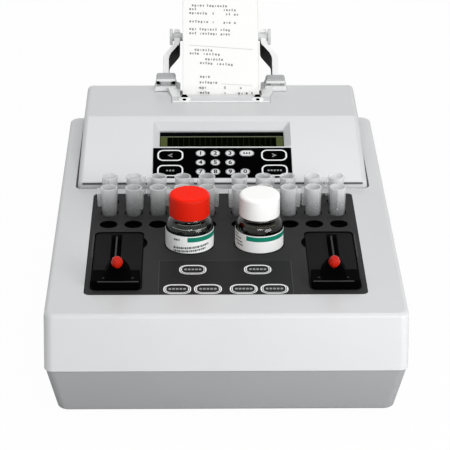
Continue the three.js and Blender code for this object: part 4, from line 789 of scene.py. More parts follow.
dress(tray, tray_black, "work_tray", sharp=30)
# The walls of the holes are painted black as shade.
refinish(tray, recess_shade_black, lambda face: abs(face.normal.z) < 0.3)
FILM = rounded(86, 48.5, 1.5, 0, 54.35)
film = plate("key_overlay", FILM, DECK, DECK + 0.15, key_holes, edge=0.08, steps=1)
extra(film, film_black, "work_tray")
# The film's edge is a thin slab of painted highlight.
extra(slab("overlay_highlight_line", drawn_in(FILM, -0.4), DECK, DECK + 0.08, [FILM]), film_highlight, "work_tray")
for (side, word), notch, bay in zip(SIDES, notches, bays):
    # Each notch floor is a thin black slab of painted shade.
    shade = cut(slab(word + "_notch_shade", drawn_in(notch, 0.1), 73.2, 73.26), slab("bay", bay, 72, 75))
    extra(shade, recess_shade_black, "work_tray")
    # A low bead beside the bay, in a lighter charcoal as painted highlight.
    edge = beam(word + "_bay_bead", side * 87.95, 0.35, (84, 119), (74.9, 75.08), 0.08)
    extra(edge, bead_highlight, "work_tray")
print("tray:", len(tray_holes) + len(bays), "holes")

# %% [markdown]
# Below the tray lies the black anodised heating block, with a bore under each well. Only the bottoms of the
# empty wells show it, but it also gives the open wells their depth.

# %% Heating block
block = join(beam("heating_metal", 0, 86, (126, 183.5), (53, 72), 0.5),
             beam("front_half", 0, 42.5, (86, 127), (53, 72), 0.5))
cut(
    block,
    *[peg("bore", 6, 57, 73, (x, y, 0), 32) for x, y, *_ in WELLS],
    *[peg("bottle_bore", 16.7, 65.7, 73, (side * BOTTLE_X, BOTTLE_Y, 0), 48) for side, _ in SIDES],
)
dress(block, anodised, "heating_block")
print("block:", len(block.data.polygons), "faces")

# %% [markdown]
# Each measuring channel is a black block in its bay, with a groove that guides the light shield, a thin
# rib down the middle of the groove and the measuring well in front. Low ridges run beside the groove. The
# groove's floor gets thin slabs of painted shade, and the rib's top a thin slab of painted highlight.

# %% Measuring channels
for side, word in SIDES:
    x, groove_x, well_x, node = side * BAY_X, side * GROOVE_X, side * HOOD_X, word + "_measuring_block"
    openings = [rounded(6.9, 66.5, 0.6, groove_x, 87.75, 2), circle(6, well_x, 46)]
    channel = plate(word + "_channel", rounded(32.4, 87, 4, x, BAY_Y, 8), 54.2, 74.2, openings, edge=0.5)
    ground = slab("ground", rounded(31, 70, 2, x, 86, 2), 58, 70.2)
    rib = beam("rib", groove_x, 0.8, (54, 121.5), (69, 73.6), 0.25)
    ridges = [beam("ridge", groove_x + k * 4.55, 0.9, (80, 116.4), (73, 74.35), 0.1) for k in (-1, 1)]
    join(channel, ground, rib, slab("well_floor", circle(7, well_x, 46), 55, 57.2), *ridges)
    dress(channel, channel_black, node)
    # The groove's floor is two thin slabs of painted shade, and the rib's top a thin slab of painted
    # highlight.
    for k in (-1, 1):
        name = f"{word}_groove_floor_{'outer' if k == side else 'inner'}"
        extra(beam(name, groove_x + k * 2.1, 1.2, (54.6, 120.9), (70.2, 70.3), 0.03), recess_shade_black, node)
    extra(beam(word + "_rib_highlight", groove_x, 0.45, (56, 119), (73.55, 73.66), 0.05), edge_highlight_grey, node)
print("two measuring channels")

# %% [markdown]
# A light shield closes each measuring well. It is a low plate that runs on two keels in the groove, and a
# hood swells from its top. The hood is the common part of its front view and its side view, each drawn as
# an outline. The knob stands square to the hood's sloped front, so it is made upright and then placed in
# that slope's own frame.

# %% Light shields and red knobs
HOOD_LEAN = math.atan2(88.8 - 80.9, 50 - 37.8)
HOOD_FRONT = softened([(-8, 75, 0), (8, 75, 0), (8, 83.3, 3), (3.6, 88.8, 2), (-3.6, 88.8, 2),
                       (-8, 83.3, 3)], 6)
HOOD_SIDE = softened([(37.8, 76, 0), (54, 76, 0), (54, 88.8, 0.8), (50, 88.8, 2), (37.8, 80.9, 0)], 6)
KNOB = ((0, 0), (0.55, 0), (0.55, 0.24), (0.88, 0.38), (1, 0.56), (0.86, 0.8), (0.5, 1), (0, 1))
for side, word in SIDES:
    hood_x, groove_x, node = side * HOOD_X, side * GROOVE_X, word + "_light_shield"
    on_hood = leaning(hood_x, 47.29, 87.04, HOOD_LEAN)
    hood = combine(loft("hood", [[(hood_x + a, y, z) for a, z in HOOD_FRONT] for y in (37, 55)]), "INTERSECT",
                   prism("slope", HOOD_SIDE, hood_x - 9, hood_x + 9))
    low_plate = rounded(31, 17.2, 1.5, side * BAY_X, 45.4, 6)
    shield = plate(word + "_shield", low_plate, 74.6, 80.9, edge=0.7, steps=4)
    keels = [beam("keel", groove_x + k * 2.125, 0.925, (55, 60), (71.8, 76.2), 0.15) for k in (-1, 1)]
    join(shield, hood, beam("tongue", groove_x, 3.05, (52.5, 60), (74.6, 77.75), 0.3), *keels)
    cut(shield, peg("socket", 2.445, -2, 6, (0, 0, 0), 40, place=on_hood))
    dress(shield, shield_black, node)
    # A thin strip along the shield's front edge is a painted highlight.
    crease = beam(word + "_shield_front_highlight", side * 69, 13.2, (36.75, 37.5), (80.15, 80.8), 0.2)
    extra(crease, edge_highlight_grey, node)
    for number, pin_x in enumerate((59.8, 78.5)):
        pin = [(0, 80.8), (1.0, 80.8), (0.8, 81.0), (0, 81.05)]
        extra(turned(f"{word}_shield_pin_{number}", pin, (side * pin_x, 41.6, 0), 20), key_black, node)
    facets = [(3.9 * radius, 10.2 * height - 1.7) for radius, height in KNOB]
    knob = turned(word + "_red_knob", facets, (0, 0, 0), 10, place=on_hood)
    soften = knob.modifiers.new("soften", "BEVEL")
    soften.width, soften.segments, soften.limit_method = 0.00015, 2, "ANGLE"
    dress(settled(knob), knob_red, word + "_shield_knob", sharp=14)
print("two shields and their knobs")

# %% [markdown]
# Six oval keys stand in the overlay. Each is a low slab with a soft edge. A white border is printed round it
# on the film and on its own rim, as thin rings, and plain bars stand where a key would carry its word.

# %% Channel keys
KEY_TOP = 75.35
for node, (x, y) in KEYS.items():
    key = plate(node + "_cap", rounded(15.4, 11.2, 4, x, y, 8), 72.8, KEY_TOP, edge=0.3)
    dress(key, key_black, node)
    hole, dip = rounded(16, 11.8, 4.3, x, y, 8), rounded(14.1, 10.1, 3.7, x, y, 8)
    border = slab(node + "_border", rounded(17.8, 13.5, 5.7, x, y, 8), 75.15, 75.22, [hole])
    extra(border, print_white, "work_tray")
    extra(slab(node + "_rim", rounded(15.2, 11, 4, x, y, 8), KEY_TOP, 75.4, [dip]), print_white, node)
    for bar in range(5):
        mark = rounded(1.7, 2.3, 0.4, x + (bar - 2) * 2.35, y, 2)
        extra(slab(f"{node}_bar_{bar}", mark, KEY_TOP, 75.4), print_grey, node)
print(len(KEYS), "keys with printed borders")

# %% [markdown]
# Twenty cuvettes stand in the two rear rows. One is turned and gets its fin, and the others are copies of
# its mesh, each turned by its own share of a circle, as a hand would have set them down. The faces of the
# rim and of the fin's lower tip are listed once, and get a whiter finish as painted highlight in every copy.

# %% Cuvettes
FINS = {"left_front": (0.5, 0.9, 0.02, 0.75, 0.98), "left_rear": (0.76, 0.03, 0.52, 0.94, 0.6),
        "right_front": (0.74, 0.47, 0.97, 0.7, 0.55), "right_rear": (0.52, 0.98, 0.72, 0.05, 0.85)}
pattern = turned("cuvette", [
    (0, 57.3), (4.5, 57.3), (4.9, 57.7), (5.5, 93.2), (5.75, 93.3), (5.75, 94.1), (5.65, 94.2), (4.9, 94.2),
    (4.85, 94.1), (4.0, 59.2), (3.7, 58.8), (0, 58.8)], (0, 0, 0), 40)
FIN = polygon((4.7, 93.7), (4.95, 80.4), (7.2, 79.7), (8.0, 81.0), (8.35, 93.7))
fin = plate("fin", FIN, -0.45, 0.45, edge=0.15, steps=1, place=lambda a, b, c: (a, c, b), foot_edge=0.15)
join(pattern, fin)
origin = millimetres(0, 0, 0)
RIM_FROM, TIP_TO = 0.0931, 0.0806
bright = []
for face in pattern.data.polygons:
    from_axis = math.hypot(face.center.x, face.center.y - FRONT) * 1000
    if face.center.z > RIM_FROM or (from_axis > 6 and face.center.z < TIP_TO):
        bright.append(face.index)
for x, y, side, column, row in WELLS:
    if row == 0:
        continue
    group = ("left" if side < 0 else "right") + ("_front" if row == 1 else "_rear")
    node = f"{group}_cuvette_{column + 1}"
    cuvette = bpy.data.objects.new(node + "_tube", pattern.data.copy())
    bpy.context.scene.collection.objects.link(cuvette)
    spin = Matrix.Rotation(FINS[group][4 - column] * math.tau, 4, "Z")
    cuvette.data.transform(Matrix.Translation(millimetres(x, y, 0)) @ spin @ Matrix.Translation(-origin))
    dress(cuvette, cloudy, node)
    # The rim and the fin's tip get the whiter finish as painted highlight.
    refinish(cuvette, cuvette_highlight_white, lambda face: face.index in bright)
bpy.data.objects.remove(pattern)
print("20 cuvettes")

# %% [markdown]
# The two reagent bottles are blown glass with a rolled shoulder and a threaded neck under the cap. What is in
# them is drawn a touch wider than the space inside, so that no film of air shines between the two. A band of
# paper goes round each bottle. Label and marks are thin curved slabs that lie on the glass.

# %% Reagent bottles and their labels
def band(name, x, radius, thick, start, end, low, high, steps=48):
    """A curved slab round a bottle, from one angle to the other, with 0 toward the viewer."""
    section = ((radius, low), (radius + thick, low), (radius + thick, high), (radius, high))
    loops = []
    for i in range(steps + 1):
        a = math.radians(start + (end - start) * i / steps)
        loops.append([(x + r * math.sin(a), BOTTLE_Y - r * math.cos(a), z) for r, z in section])
    return loft(name, loops)


def shoulder(foot, reach, low, rise):
    """The rounded upper part of a bottle: a quarter of an ellipse, nearly to its top."""
    angles = [math.radians(a) for a in range(0, 81, 8)]
    return [(foot + reach * math.cos(a), low + rise * math.sin(a)) for a in angles]


OUTER = [(0, 66), (13.5, 66), (15.2, 66.7), (16, 68.5), *shoulder(11.2, 4.8, 87.6, 6.9),
         (11.3, 95.4), (11, 96.6), (11, 106)]
INNER = [(9.6, 106), (9.6, 95), *shoulder(9.8, 4.7, 86.8, 6.3)[::-1], (14.5, 69.5), (13.4, 67.9), (0, 67.6)]
FILL_PROFILE = [(0, 67.4), (13.3, 67.7), (14.8, 69.4), *shoulder(10.1, 4.7, 87, 6.4), (9.9, 95.5), (0, 95.6)]
# For each bottle: its glass, what is in it, the finish and arcs of its painted reflections, and where its
# green band lies
BOTTLES = {"left": (clear_glass, reagent, pale_reflection_arc, ((13.7, 90.8, 52), (11.65, 92.9, 40)), (-5, 88)),
           "right": (brown_glass, brown_reagent, olive_reflection_arc, ((12.85, 91.95, 50),), (-34, 88))}
for side, word in SIDES:
    x, node = side * BOTTLE_X, word + "_vial"
    pane, content, arc_finish, reflection_arcs, green = BOTTLES[word]
    dress(turned(word + "_bottle", OUTER + INNER, (x, BOTTLE_Y, 0), 96), pane, node, sharp=50, level=False)
    extra(turned(word + "_contents", FILL_PROFILE, (x, BOTTLE_Y, 0), 48), content, node)
    # Pale arcs on the front of the bottle are painted reflections of its shoulder.
    for number, (radius, height, reach) in enumerate(reflection_arcs):
        ring = band(f"{word}_residue_{number}", x, radius, 0.25, -reach, reach, height, height + 0.3, 24)
        extra(ring, arc_finish, node)
    extra(band(word + "_label", x, 16.05, 0.1, -150, 150, 75.2, 87.3), label_paper, node)
    extra(band(word + "_label_band", x, 16.15, 0.05, *green, 83.3, 86.6, 24), label_green, node)
print("two bottles")

# %% [markdown]
# Each label has rows of text, which are drawn here as rows of short plain marks. The left label was stuck on
# a little askew, so its rows climb as they go round.

# %% Marks on the labels
ROWS = [("left", -40, -24, 85.0, 1.3), ("left", -41, 50, 79.2, 1.5), ("left", -41, 42, 76.9, 1.4),
        ("right", -80, -60, 85.6, 0.8), ("right", -78, -50, 83.4, 0.9), ("right", -74, -46, 81.0, 0.9),
        ("right", -66, -44, 78.8, 0.9)]
for number, (word, start, end, middle, tall) in enumerate(ROWS):
    x, climb = (-BOTTLE_X, 0.021) if word == "left" else (BOTTLE_X, 0)
    here, part = start, 0
    while here < end:
        reach = min(here + (3.2, 5.0, 2.2, 4.1)[(number + part) % 4], end)
        low, high = middle + climb * here - tall / 2, middle + climb * here + tall / 2
        mark = band(f"label_mark_{number}_{part}", x, 16.15, 0.04, here, reach, low, high, 3)
        extra(mark, label_text, word + "_vial")
        here, part = reach + 1.3, part + 1
print(len(ROWS), "rows of marks")

# %% [markdown]
# The caps are glossy pressed plastic with a rounded top edge. The red one's flat top is painted a brighter
# red as light from above, so it has a finish of its own, and it keeps the small gate mark of its mould in the
# middle.

# %% Bottle caps
CAP_EDGE = [(11.2 + 2.4 * math.cos(math.radians(a)), 109.6 + 2.4 * math.sin(math.radians(a)))
            for a in range(0, 91, 10)]
CAP = [(0, 106.3), (11.3, 106.3), (11.3, 97), (13.3, 97), (13.6, 97.3), *CAP_EDGE, (6, 112.05), (0, 112)]
caps = [turned(word + "_cap", CAP, (side * BOTTLE_X, BOTTLE_Y, 0), 96) for side, word in SIDES]
dress(caps[0], cap_red, "left_vial_cap")
# The flat top's faces get the brighter red as painted light.
refinish(caps[0], cap_top_lit_red, lambda face: face.center.z > 0.1113)
dress(caps[1], cap_white, "right_vial_cap")
GATE = [(0, 111.9), (1.5, 111.9), (1.25, 112.35), (0.7, 112.2), (0, 112.15)]
extra(turned("red_cap_gate", GATE, (-BOTTLE_X, BOTTLE_Y, 0), 20), cap_top_lit_red, "left_vial_cap")
print("two caps")

# %% [markdown]
# The menu and number keys are one foil with embossed fields. Outlines, discs, digits and arrow signs are
# printed on it. Each print is a thin flat slab, so it stays crisp from any distance. Keys that would carry
# a word have plain bars.

# %% Keypad foil
MENU = [(side * 37.3, s) for s in (29.2, 12.5) for side in (-1, 1)]
DIGITS = [(str(3 * row + column + 1), -15.6 + 10.6 * column, 31.4 - 10.15 * row)
          for row in range(3) for column in range(3)] + [("0", 16.2, 11.1)]
WIDE_KEY = (17.7, 31.4)
ARROW = ((1.9, 0), (-1.4, 2.1), (-1.4, 1.1), (0.3, 0), (-1.4, -1.1), (-1.4, -2.1))
foil = plate("keypad_sheet", rounded(99.4, 33.1, 0.8, 0, 21.45), -0.9, 0, edge=0.2, place=on_panel)
fields = [rounded(19, 12.8, 4, x, s) for x, s in MENU] + [rounded(7.4, 6.9, 3.1, x, s) for _, x, s in DIGITS]
fields.append(rounded(11, 6.9, 3.1, *WIDE_KEY))
join(foil, *[plate("pad", field, -0.5, 0.4, edge=0.3, place=on_panel) for field in fields])
dress(foil, foil_black, "menu_keypad")


def printed(name, outline, finish, low=0.4, thick=0.05, node="menu_keypad", place=on_panel, holes=()):
    return extra(slab(name, outline, low, low + thick, holes, place), finish, node)


def bars(name, x, s, count, pitch, finish, low):
    """A row of plain bars in the place of a key's word."""
    for bar in range(count):
        mark = rounded(pitch * 0.66, 1.7, 0.4, x + (bar - (count - 1) / 2) * pitch, s, 2)
        printed(f"{name}_bar_{bar}", mark, finish, low, 0.03)


for number, (x, s) in enumerate(MENU):
    inside = rounded(16.4, 10.0, 3.6, x, s, 8)
    printed(f"menu_outline_{number}", rounded(18.6, 12.2, 4.6, x, s, 8), print_white, holes=[inside])
for word, x, s in DIGITS + [("wide", *WIDE_KEY)]:
    grow = 3.6 if word == "wide" else 0
    printed("key_edge_" + word, rounded(6.9 + grow, 6.6, 3.2, x, s, 8), print_grey)
    printed("key_face_" + word, rounded(5.7 + grow, 5.4, 2.6, x, s, 8), disc_white, 0.45, 0.03)
for number, aim in enumerate((-1, 1)):
    arrow = polygon(*[(aim * 37.3 + aim * a, 29.2 + aim * b) for a, b in ARROW])
    printed(f"arrow_{number}", arrow, print_grey)
bars("lower_left_key", *MENU[2], 3, 2.2, print_grey, 0.4)
bars("lower_right_key", *MENU[3], 5, 2.2, print_grey, 0.4)
bars("wide_key", *WIDE_KEY, 3, 1.9, foil_black, 0.48)
print("keypad:", len(fields), "fields")

# %% [markdown]
# The digits come from Blender's own typeface. Each is a text object with a little thickness, turned into a
# mesh, welded where its face and its sides meet, and laid on its disc.

# %% Digits on the keypad
for word, x, s in DIGITS:
    text = bpy.data.curves.new("digit_" + word, "FONT")
    text.body, text.size, text.align_x, text.align_y = word, 5.4, "CENTER", "CENTER"
    text.extrude, text.resolution_u, text.offset = 0.03, 3, 0.13
    holder = bpy.data.objects.new("digit_" + word, text)
    bpy.context.scene.collection.objects.link(holder)
    bpy.context.view_layer.update()
    mesh = bpy.data.meshes.new_from_object(holder.evaluated_get(bpy.context.evaluated_depsgraph_get()))
    bpy.data.objects.remove(holder)
    welder = bmesh.new()
    welder.from_mesh(mesh)
    bmesh.ops.remove_doubles(welder, verts=welder.verts, dist=0.0005)
    welder.to_mesh(mesh)
    welder.free()
    for corner in mesh.vertices:
        corner.co = millimetres(*on_panel(x + corner.co.x, s + corner.co.y, 0.51 + corner.co.z))
    digit = bpy.data.objects.new("digit_" + word, mesh)
    bpy.context.scene.collection.objects.link(digit)
    extra(digit, foil_black, "menu_keypad")
print(len(DIGITS), "digits")

# %% [markdown]
# Behind the bevelled recess sits the display: a dark mask with a window, and in it a liquid crystal pane
# with a row of black character cells on an olive ground. The pane and its frame are boxes in the panel's
# own frame.

# %% Display
TOP, CELLS, PITCH, ROW_ALONG = -6.6, 20, 3.98, 51.5
mask, card = rounded(94.6, 23.3, 0.6, 0, DISPLAY_ALONG), rounded(98.6, 33.3, 0.6, 0, DISPLAY_ALONG)
module = plate("display_frame", mask, TOP - 4, TOP, edge=0.2, place=on_panel)
join(module, plate("display_circuit", card, TOP - 5.6, TOP - 3.2, edge=0.2, place=on_panel))
dress(module, display_black, "lcd_module")
for name, across, along, middle, finish, low, thick in (
        ("display_pane", 89.6, 12.6, ROW_ALONG, olive, 0, 0.1),
        ("display_streak", 88.6, 2.6, 63.9, display_grey, 0, 0.05),
        ("display_line", 89.6, 0.7, 58.4, olive_line, 0, 0.12),
        ("display_ground", CELLS * PITCH, 12.2, ROW_ALONG, olive_dark, 0.1, 0.02)):
    printed(name, rounded(across, along, 0.2, 0, middle), finish, TOP + low, thick, "lcd_module")
for cell in range(CELLS):
    character = rounded(PITCH - 0.5, 11.6, 0.1, (cell - (CELLS - 1) / 2) * PITCH, ROW_ALONG, 1)
    printed(f"display_cell_{cell}", character, cell_black, TOP + 0.12, 0.03, "lcd_module")
print("display with", CELLS, "cells")

# %% [markdown]
# The printer looks out of the back of the housing. Its bezel is a frame with a slot, a tear bar in front of
# the slot and two ears that hold the paper arms. A round stud stands at each end of the tear bar, with a
# dark eye before it and a dark knuckle behind it, both black as painted shade. A thin bright strip along the
# frame's front edge is a painted highlight. The ears are painted lighter than the frame, as painted light
# against the shade under the arm blocks, so their faces get a second material slot.

# %% Printer bezel
EAR = polygon((-8.8, 0.3), (8.8, 0.3), (7.6, 4), (-7.6, 4))
CHEEK = ((30.6, 101.6), (40, 101.6), (40, 105.2), (38.6, 105.2), (30.6, 102.5))
FOOT = ((30.6, 101.6), (36.7, 101.6), (36.7, 102.4), (36.6, 102.4), (30.6, 102.3))
BAR = softened([(299.8, 102.1, 0), (304.8, 102.1, 0), (304.8, 103.2, 0.2), (299.8, 102.55, 0.2)])
bezel = beam("bezel", 0, 36.7, (293.7, 331.5), (93.6, 102.3), 0.3)
cut(bezel, beam("inside", 0, 34.4, (295.8, 329.2), (92, 99.8), 0.2))
ears = [plate("ear", EAR, 0, 15, edge=0.15, foot_edge=0.15,
              place=lambda a, b, c, side=side: (side * ARM_X + a, COVER_DEPTH - c, HUMP_TOP + b))
        for side, _ in SIDES]
RAMP = ((303.5, FOOT), (316.5, CHEEK), (331.5, CHEEK))
ramps = [loft("ramp", [[(side * x, y, z) for x, z in outline] for y, outline in RAMP]) for side, _ in SIDES]
join(bezel, *ears, *ramps, prism("tear_bar", BAR, -PAPER_HALF, PAPER_HALF))
pockets = [beam("pocket", side * ARM_X, 4.1, (318.95, 325.55), (102.2, 109), 0.1) for side, _ in SIDES]
cut(bezel, beam("slot", 0, 30.6, (305.73, 333), (96.4, 110), 0.1), *pockets)
dress(bezel, trim_grey, "printer_bezel")
# The ears and cheeks get a lighter grey as painted light.
refinish(bezel, ear_lit_grey, lambda face: abs(face.center.x) > 0.0335 and face.center.z > 0.1014)
# A thin bright strip along the frame's front edge is a painted highlight.
front_line = beam("bezel_front_highlight", 0, 36.3, (293.5, 294.3), (101.5, 102.36), 0.1)
extra(front_line, trim_bright, "printer_bezel")
# The studs' dark eyes and knuckles are painted shade.
STUDS = (
    ("stud", 297.5, 32, trim_bright,
     [(0, 102.2), (4.6, 102.2), (4.6, 102.6), (3.2, 103.2), (1.6, 103.5), (0, 103.5)]),
    ("stud_eye", 295.1, 24, recess_shade_black, [(0, 102.6), (1.6, 102.6), (1.4, 103.5), (0, 103.7)]),
    ("stud_hood", 301.3, 24, recess_shade_black, [(0, 102.4), (2.5, 102.4), (2.4, 103.4), (1.7, 104.2), (0, 104.5)]),
)
for side, word in SIDES:
    for name, y, steps, finish, profile in STUDS:
        extra(turned(f"{word}_{name}", profile, (side * STUD_X, y, 0), steps), finish, "printer_bezel")
print("bezel:", len(bezel.data.polygons), "faces")

# %% [markdown]
# Two arms hold the paper roll. Each is a bar that steps inward halfway, so the roll fits between the tips,
# and each has a cap block over the ear that it plugs into. The large inner faces are painted black as shade
# and the block is greyer than the bar, so the arm has three material slots, picked by where a face is and
# which way it looks. Only the left block has two dark marks in its front, painted shade in its gaps.

# %% Paper arms and roll pins
ARM_CORNERS = [(39.1, 0, 0), (43.7, 0, 0), (43.7, 17.2, 2.3), (35.5, 28.2, 2.3), (35.5, 41.2, 1.6),
               (30.9, 41.2, 1.6), (30.9, 28.2, 2.3), (39.1, 17.2, 2.3)]
PIN = [(0, 19.75), (2.7, 19.75), (3.1, 20.2), (3.1, 36.5), (5.9, 36.5), (6.2, 36.8), (6.2, 38.4), (5.9, 38.7),
       (2.2, 38.7), (1.8, 38.3), (0, 38.3)]
on_arm = leaning(0, 327, 110.7, math.radians(38))


def arm_outline(side):
    soft = softened(ARM_CORNERS, 4)
    return polygon(*[(side * a, b) for a, b in (soft if side > 0 else soft[::-1])])


def on_block(face, foot):
    """Whether a face belongs to the block over the ear, whose front stays light above its foot."""
    y, z = (face.center.y - FRONT) * 1000, face.center.z * 1000
    return y < 328.2 and z < foot + 3.5 and not (face.normal.y < -0.9 and z > foot)


for side, word in SIDES:
    node, block_foot = word + "_roll_arm", 108.7 if side < 0 else 107.0
    arm = plate(word + "_arm", arm_outline(side), 0, 20, edge=0.5, foot_edge=0.5,
                place=lambda x, along, back: on_arm(x, along, -back))
    cut(arm, beam("low_cut", side * ARM_X, 9, (290, 331.9), (88, block_foot), 0.1))
    rings = [(rounded(14.6 - 2 * pull, 9.5 - pull, 0.6, side * ARM_X, 322.8 + pull / 2), block_foot + z)
             for z, pull in ((0, 0), (2, 0), (3.4, 0.9))]
    tongue = beam("tongue", side * ARM_X, 3.8, (319.3, 325.2), (102.5, 110), 0.2)
    join(arm, stack("cap_block", rings), tongue)
    cut(arm, peg("bore", 3.4, *sorted((side * 28, side * 40)), (0, *ROLL), 32, "X"))
    dress(arm, arm_light, node)
    # The large inner faces are painted black as shade.
    refinish(arm, arm_shade_black, lambda face: face.normal.x * side < -0.4 and face.area > 2e-6)
    refinish(arm, block_grey, lambda face: on_block(face, block_foot))
    # Two dark marks on the left block's front are painted shade in its gaps.
    if side < 0:
        for k in (-1, 1):
            slot_x = k * 5.9 - ARM_X
            slot = beam(f"left_block_slot_{k + 1}", slot_x, 1.3, (317.85, 319.5), (106.6, 109.0), 0.1)
            extra(slot, recess_shade_black, node)
    pin = turned(word + "_pin", [(radius, side * reach) for radius, reach in PIN], (0, *ROLL), 48, "X")
    dress(pin, trim_grey, word + "_roll_pin")
print("two arms and two pins")

# %% [markdown]
# The paper comes off the roll, goes under the platen, turns up through the slot and leans back over the roll.
# Its middle line is worked out once, and the strip is a thin loft along it.

# %% Paper strip
LEAN = math.radians(44)


def paper_line():
    wrap, off_roll = 5.575, 17.575
    span = math.hypot(ROLL[0] - PLATEN[0], ROLL[1] - PLATEN[1])
    feed = math.atan2(ROLL[1] - PLATEN[1], ROLL[0] - PLATEN[0]) - math.asin((off_roll - wrap) / span)
    leaves = feed - math.pi / 2
    points = [(ROLL[0] + off_roll * math.cos(leaves), ROLL[1] + off_roll * math.sin(leaves))]
    bend = (318.3, HUMP_TOP + 1)
    for centre, radius, start, end, steps in ((PLATEN, wrap, leaves, -math.pi, 12),
                                              (bend, 12, math.pi, math.pi / 2 + LEAN, 10)):
        angles = [start + (end - start) * i / steps for i in range(steps + 1)]
        points += [(centre[0] + radius * math.cos(a), centre[1] + radius * math.sin(a)) for a in angles]
    foot = points[-1]
    tail = [(foot[0] + d * math.cos(LEAN), foot[1] + d * math.sin(LEAN)) for d in range(12, 97, 12)]
    return foot, points + tail


BEND_END, LINE = paper_line()
on_paper = leaning(0, *BEND_END, LEAN)
loops = []
for i, (y, z) in enumerate(LINE):
    a, b = LINE[max(i - 1, 0)], LINE[min(i + 1, len(LINE) - 1)]
    run = Vector((b[0] - a[0], b[1] - a[1])).normalized() * 0.1
    corners = ((-PAPER_HALF, -1), (PAPER_HALF, -1), (PAPER_HALF, 1), (-PAPER_HALF, 1))
    loops.append([(x, y - run.y * k, z + run.x * k) for x, k in corners])
dress(loft("paper_strip", loops), paper, "paper_web", sharp=40)
print("paper line of", len(LINE), "points")

# %% [markdown]
# The print lies on the strip's face as rows of small grey marks, a little askew, as on a strip that was torn
# off by hand. Each row says how far up the strip it is, how much it slopes, and from where to where its
# groups of marks run. The last row came out darkest. Two thin rules are fainter, and a faint grey line along
# each of the strip's two edges is painted shade.

# %% Print on the strip
PRINT = [
    (78, -0.03, (-22, -14), (2, 10)), (74.4, -0.03, (-24, -8), (4, 12)),
    (70.8, -0.035, (-24, -12), (-6, -5), (4, 12)), (64, -0.036, (-22, -12), (-10.7, 5.4)),
    (60.8, -0.036, (-24, -18), (2, 12)), (57.3, -0.043, (-24, -10), (-6.3, -4.7), (3.7, 8), (10, 14)),
    (50.2, -0.042, (-24, -9), (-6.3, -4.7), (2, 8), (10, 12)),
    (43.9, -0.038, (-24, -18), (-16.4, -2.4), (-0.3, 7.4)),
    (40.3, -0.038, (-24, -18), (-16, -2.2), (-0.3, 7.4)), (26.2, -0.061, (-20, -6)),
    (23.1, -0.051, (-23.6, -16.4), (-13.6, -0.3)), (18.9, -0.048, (-12, 2)),
    (15.2, -0.067, (-16, -6), (-3.5, 9.4)), (4.4, -0.03, (-16, -8)), (-0.3, -0.028, (-16.3, -2.5)),
    (-4.5, -0.015, (-16.5, -10.6), (2.3, 3.9), (14.3, 15.8)),
    (-8.7, -0.017, (-16, -8.4), (2.3, 3.9), (12.4, 17), (18.6, 20), (22.5, 24)),
]
RULES = [(29.3, -0.08, -24, 24.4, 0.5), (-1.1, -0.055, 0, 24, 0.35)]
LETTERS = ((1.35, 1.7, 0), (1.1, 1.5, 0), (0.8, 2.3, 0.3), (1.45, 1.6, 0), (1.3, 1.9, -0.2), (0.7, 1.6, 0))


def on_row(along, slope):
    return lambda a, b, c: on_paper(a, along + slope * a + b, c)


for row, (along, slope, *groups) in enumerate(PRINT):
    shade, line = ink if row == len(PRINT) - 1 else worn_ink, on_row(along, slope)
    for group, (start, end) in enumerate(groups):
        letters = max(1, round((end - start) / 2.05))
        for letter in range(letters):
            wide, tall, lift = LETTERS[(3 * row + 5 * group + 7 * letter) % 6]
            mark = rounded(wide, tall, 0.3, start + (letter + 0.5) * (end - start) / letters, lift, 1)
            printed(f"print_{row}_{group}_{letter}", mark, shade, 0.12, 0.03, "paper_web", line)
for row, (along, slope, start, end, wide) in enumerate(RULES):
    rule = rounded(end - start, wide, 0.1, (start + end) / 2, 0, 1)
    printed(f"print_rule_{row}", rule, faint_ink_and_edge_shade, 0.12, 0.03, "paper_web", on_row(along, slope))
# A faint grey line along each edge of the strip is painted shade.
for side, word in SIDES:
    rim = rounded(0.3, 100, 0.1, side * 28.55, 44, 1)
    printed(word + "_paper_edge_shade", rim, faint_ink_and_edge_shade, 0.11, 0.02, "paper_web", on_paper)
print(len(PRINT), "rows of print")

# %% [markdown]
# The roll behind the strip is one turned piece. Its two ends show the edges of the wound layers as fine
# steps, and the two pins hold it by the hole in its middle.

# %% Paper roll
layers = [(3.8 + 0.33 * i, PAPER_HALF - (0.12 if i % 2 else 0)) for i in range(40)]
half_roll = [(3.4, PAPER_HALF), *layers, (17, 28.6)]
roll_profile = [(radius, -reach) for radius, reach in half_roll] + half_roll[::-1]
dress(turned("paper_roll_wound", roll_profile, (0, *ROLL), 64, "X"), paper, "paper_roll")
print("roll with", len(layers), "layers drawn")

# %% [markdown]
# Inside the slot the rubber platen presses the paper against the print head. Both are hidden by the strip
# from the front, but show from behind and above. The cradle takes its size from the node that it replaces.

# %% Platen and mechanism
HALF_PLATEN = [(0, 30.3), (1.4, 30.3), (1.6, 30.1), (1.6, 28.5), (4.8, 28.5), (5, 28.3)]
platen_profile = [(radius, -reach) for radius, reach in HALF_PLATEN] + HALF_PLATEN[::-1]
dress(turned("platen_rubber", platen_profile, (0, *PLATEN), 40, "X"), rubber, "platen_roller")
low, high = (tuple(c * 1000 for c in corner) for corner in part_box("printer_mechanism"))
OFFSET = FRONT * 1000
cradle = box("print_cradle", (low[0], low[1] - OFFSET, low[2]), (high[0], high[1] - OFFSET, low[2] + 9), 0.4)
cheeks = [beam("cradle_cheek", side * 29.8, 0.5, (306.4, 317.2), (78.3, 99.5), 0.2) for side, _ in SIDES]
head = beam("print_head", 0, 30.3, (303.8, 305.7), (78.3, 98.1), 0.2)
join(cradle, *cheeks, head)
cut(cradle, peg("axle_bore", 1.9, -32, 32, (0, *PLATEN), 24, "X"))
dress(cradle, nickel, "printer_mechanism")
print("platen and cradle")

# %% [markdown]
# The circuit board stands on the base's four standoffs, out of sight. It carries a transformer can, a
# processor and a few connectors.

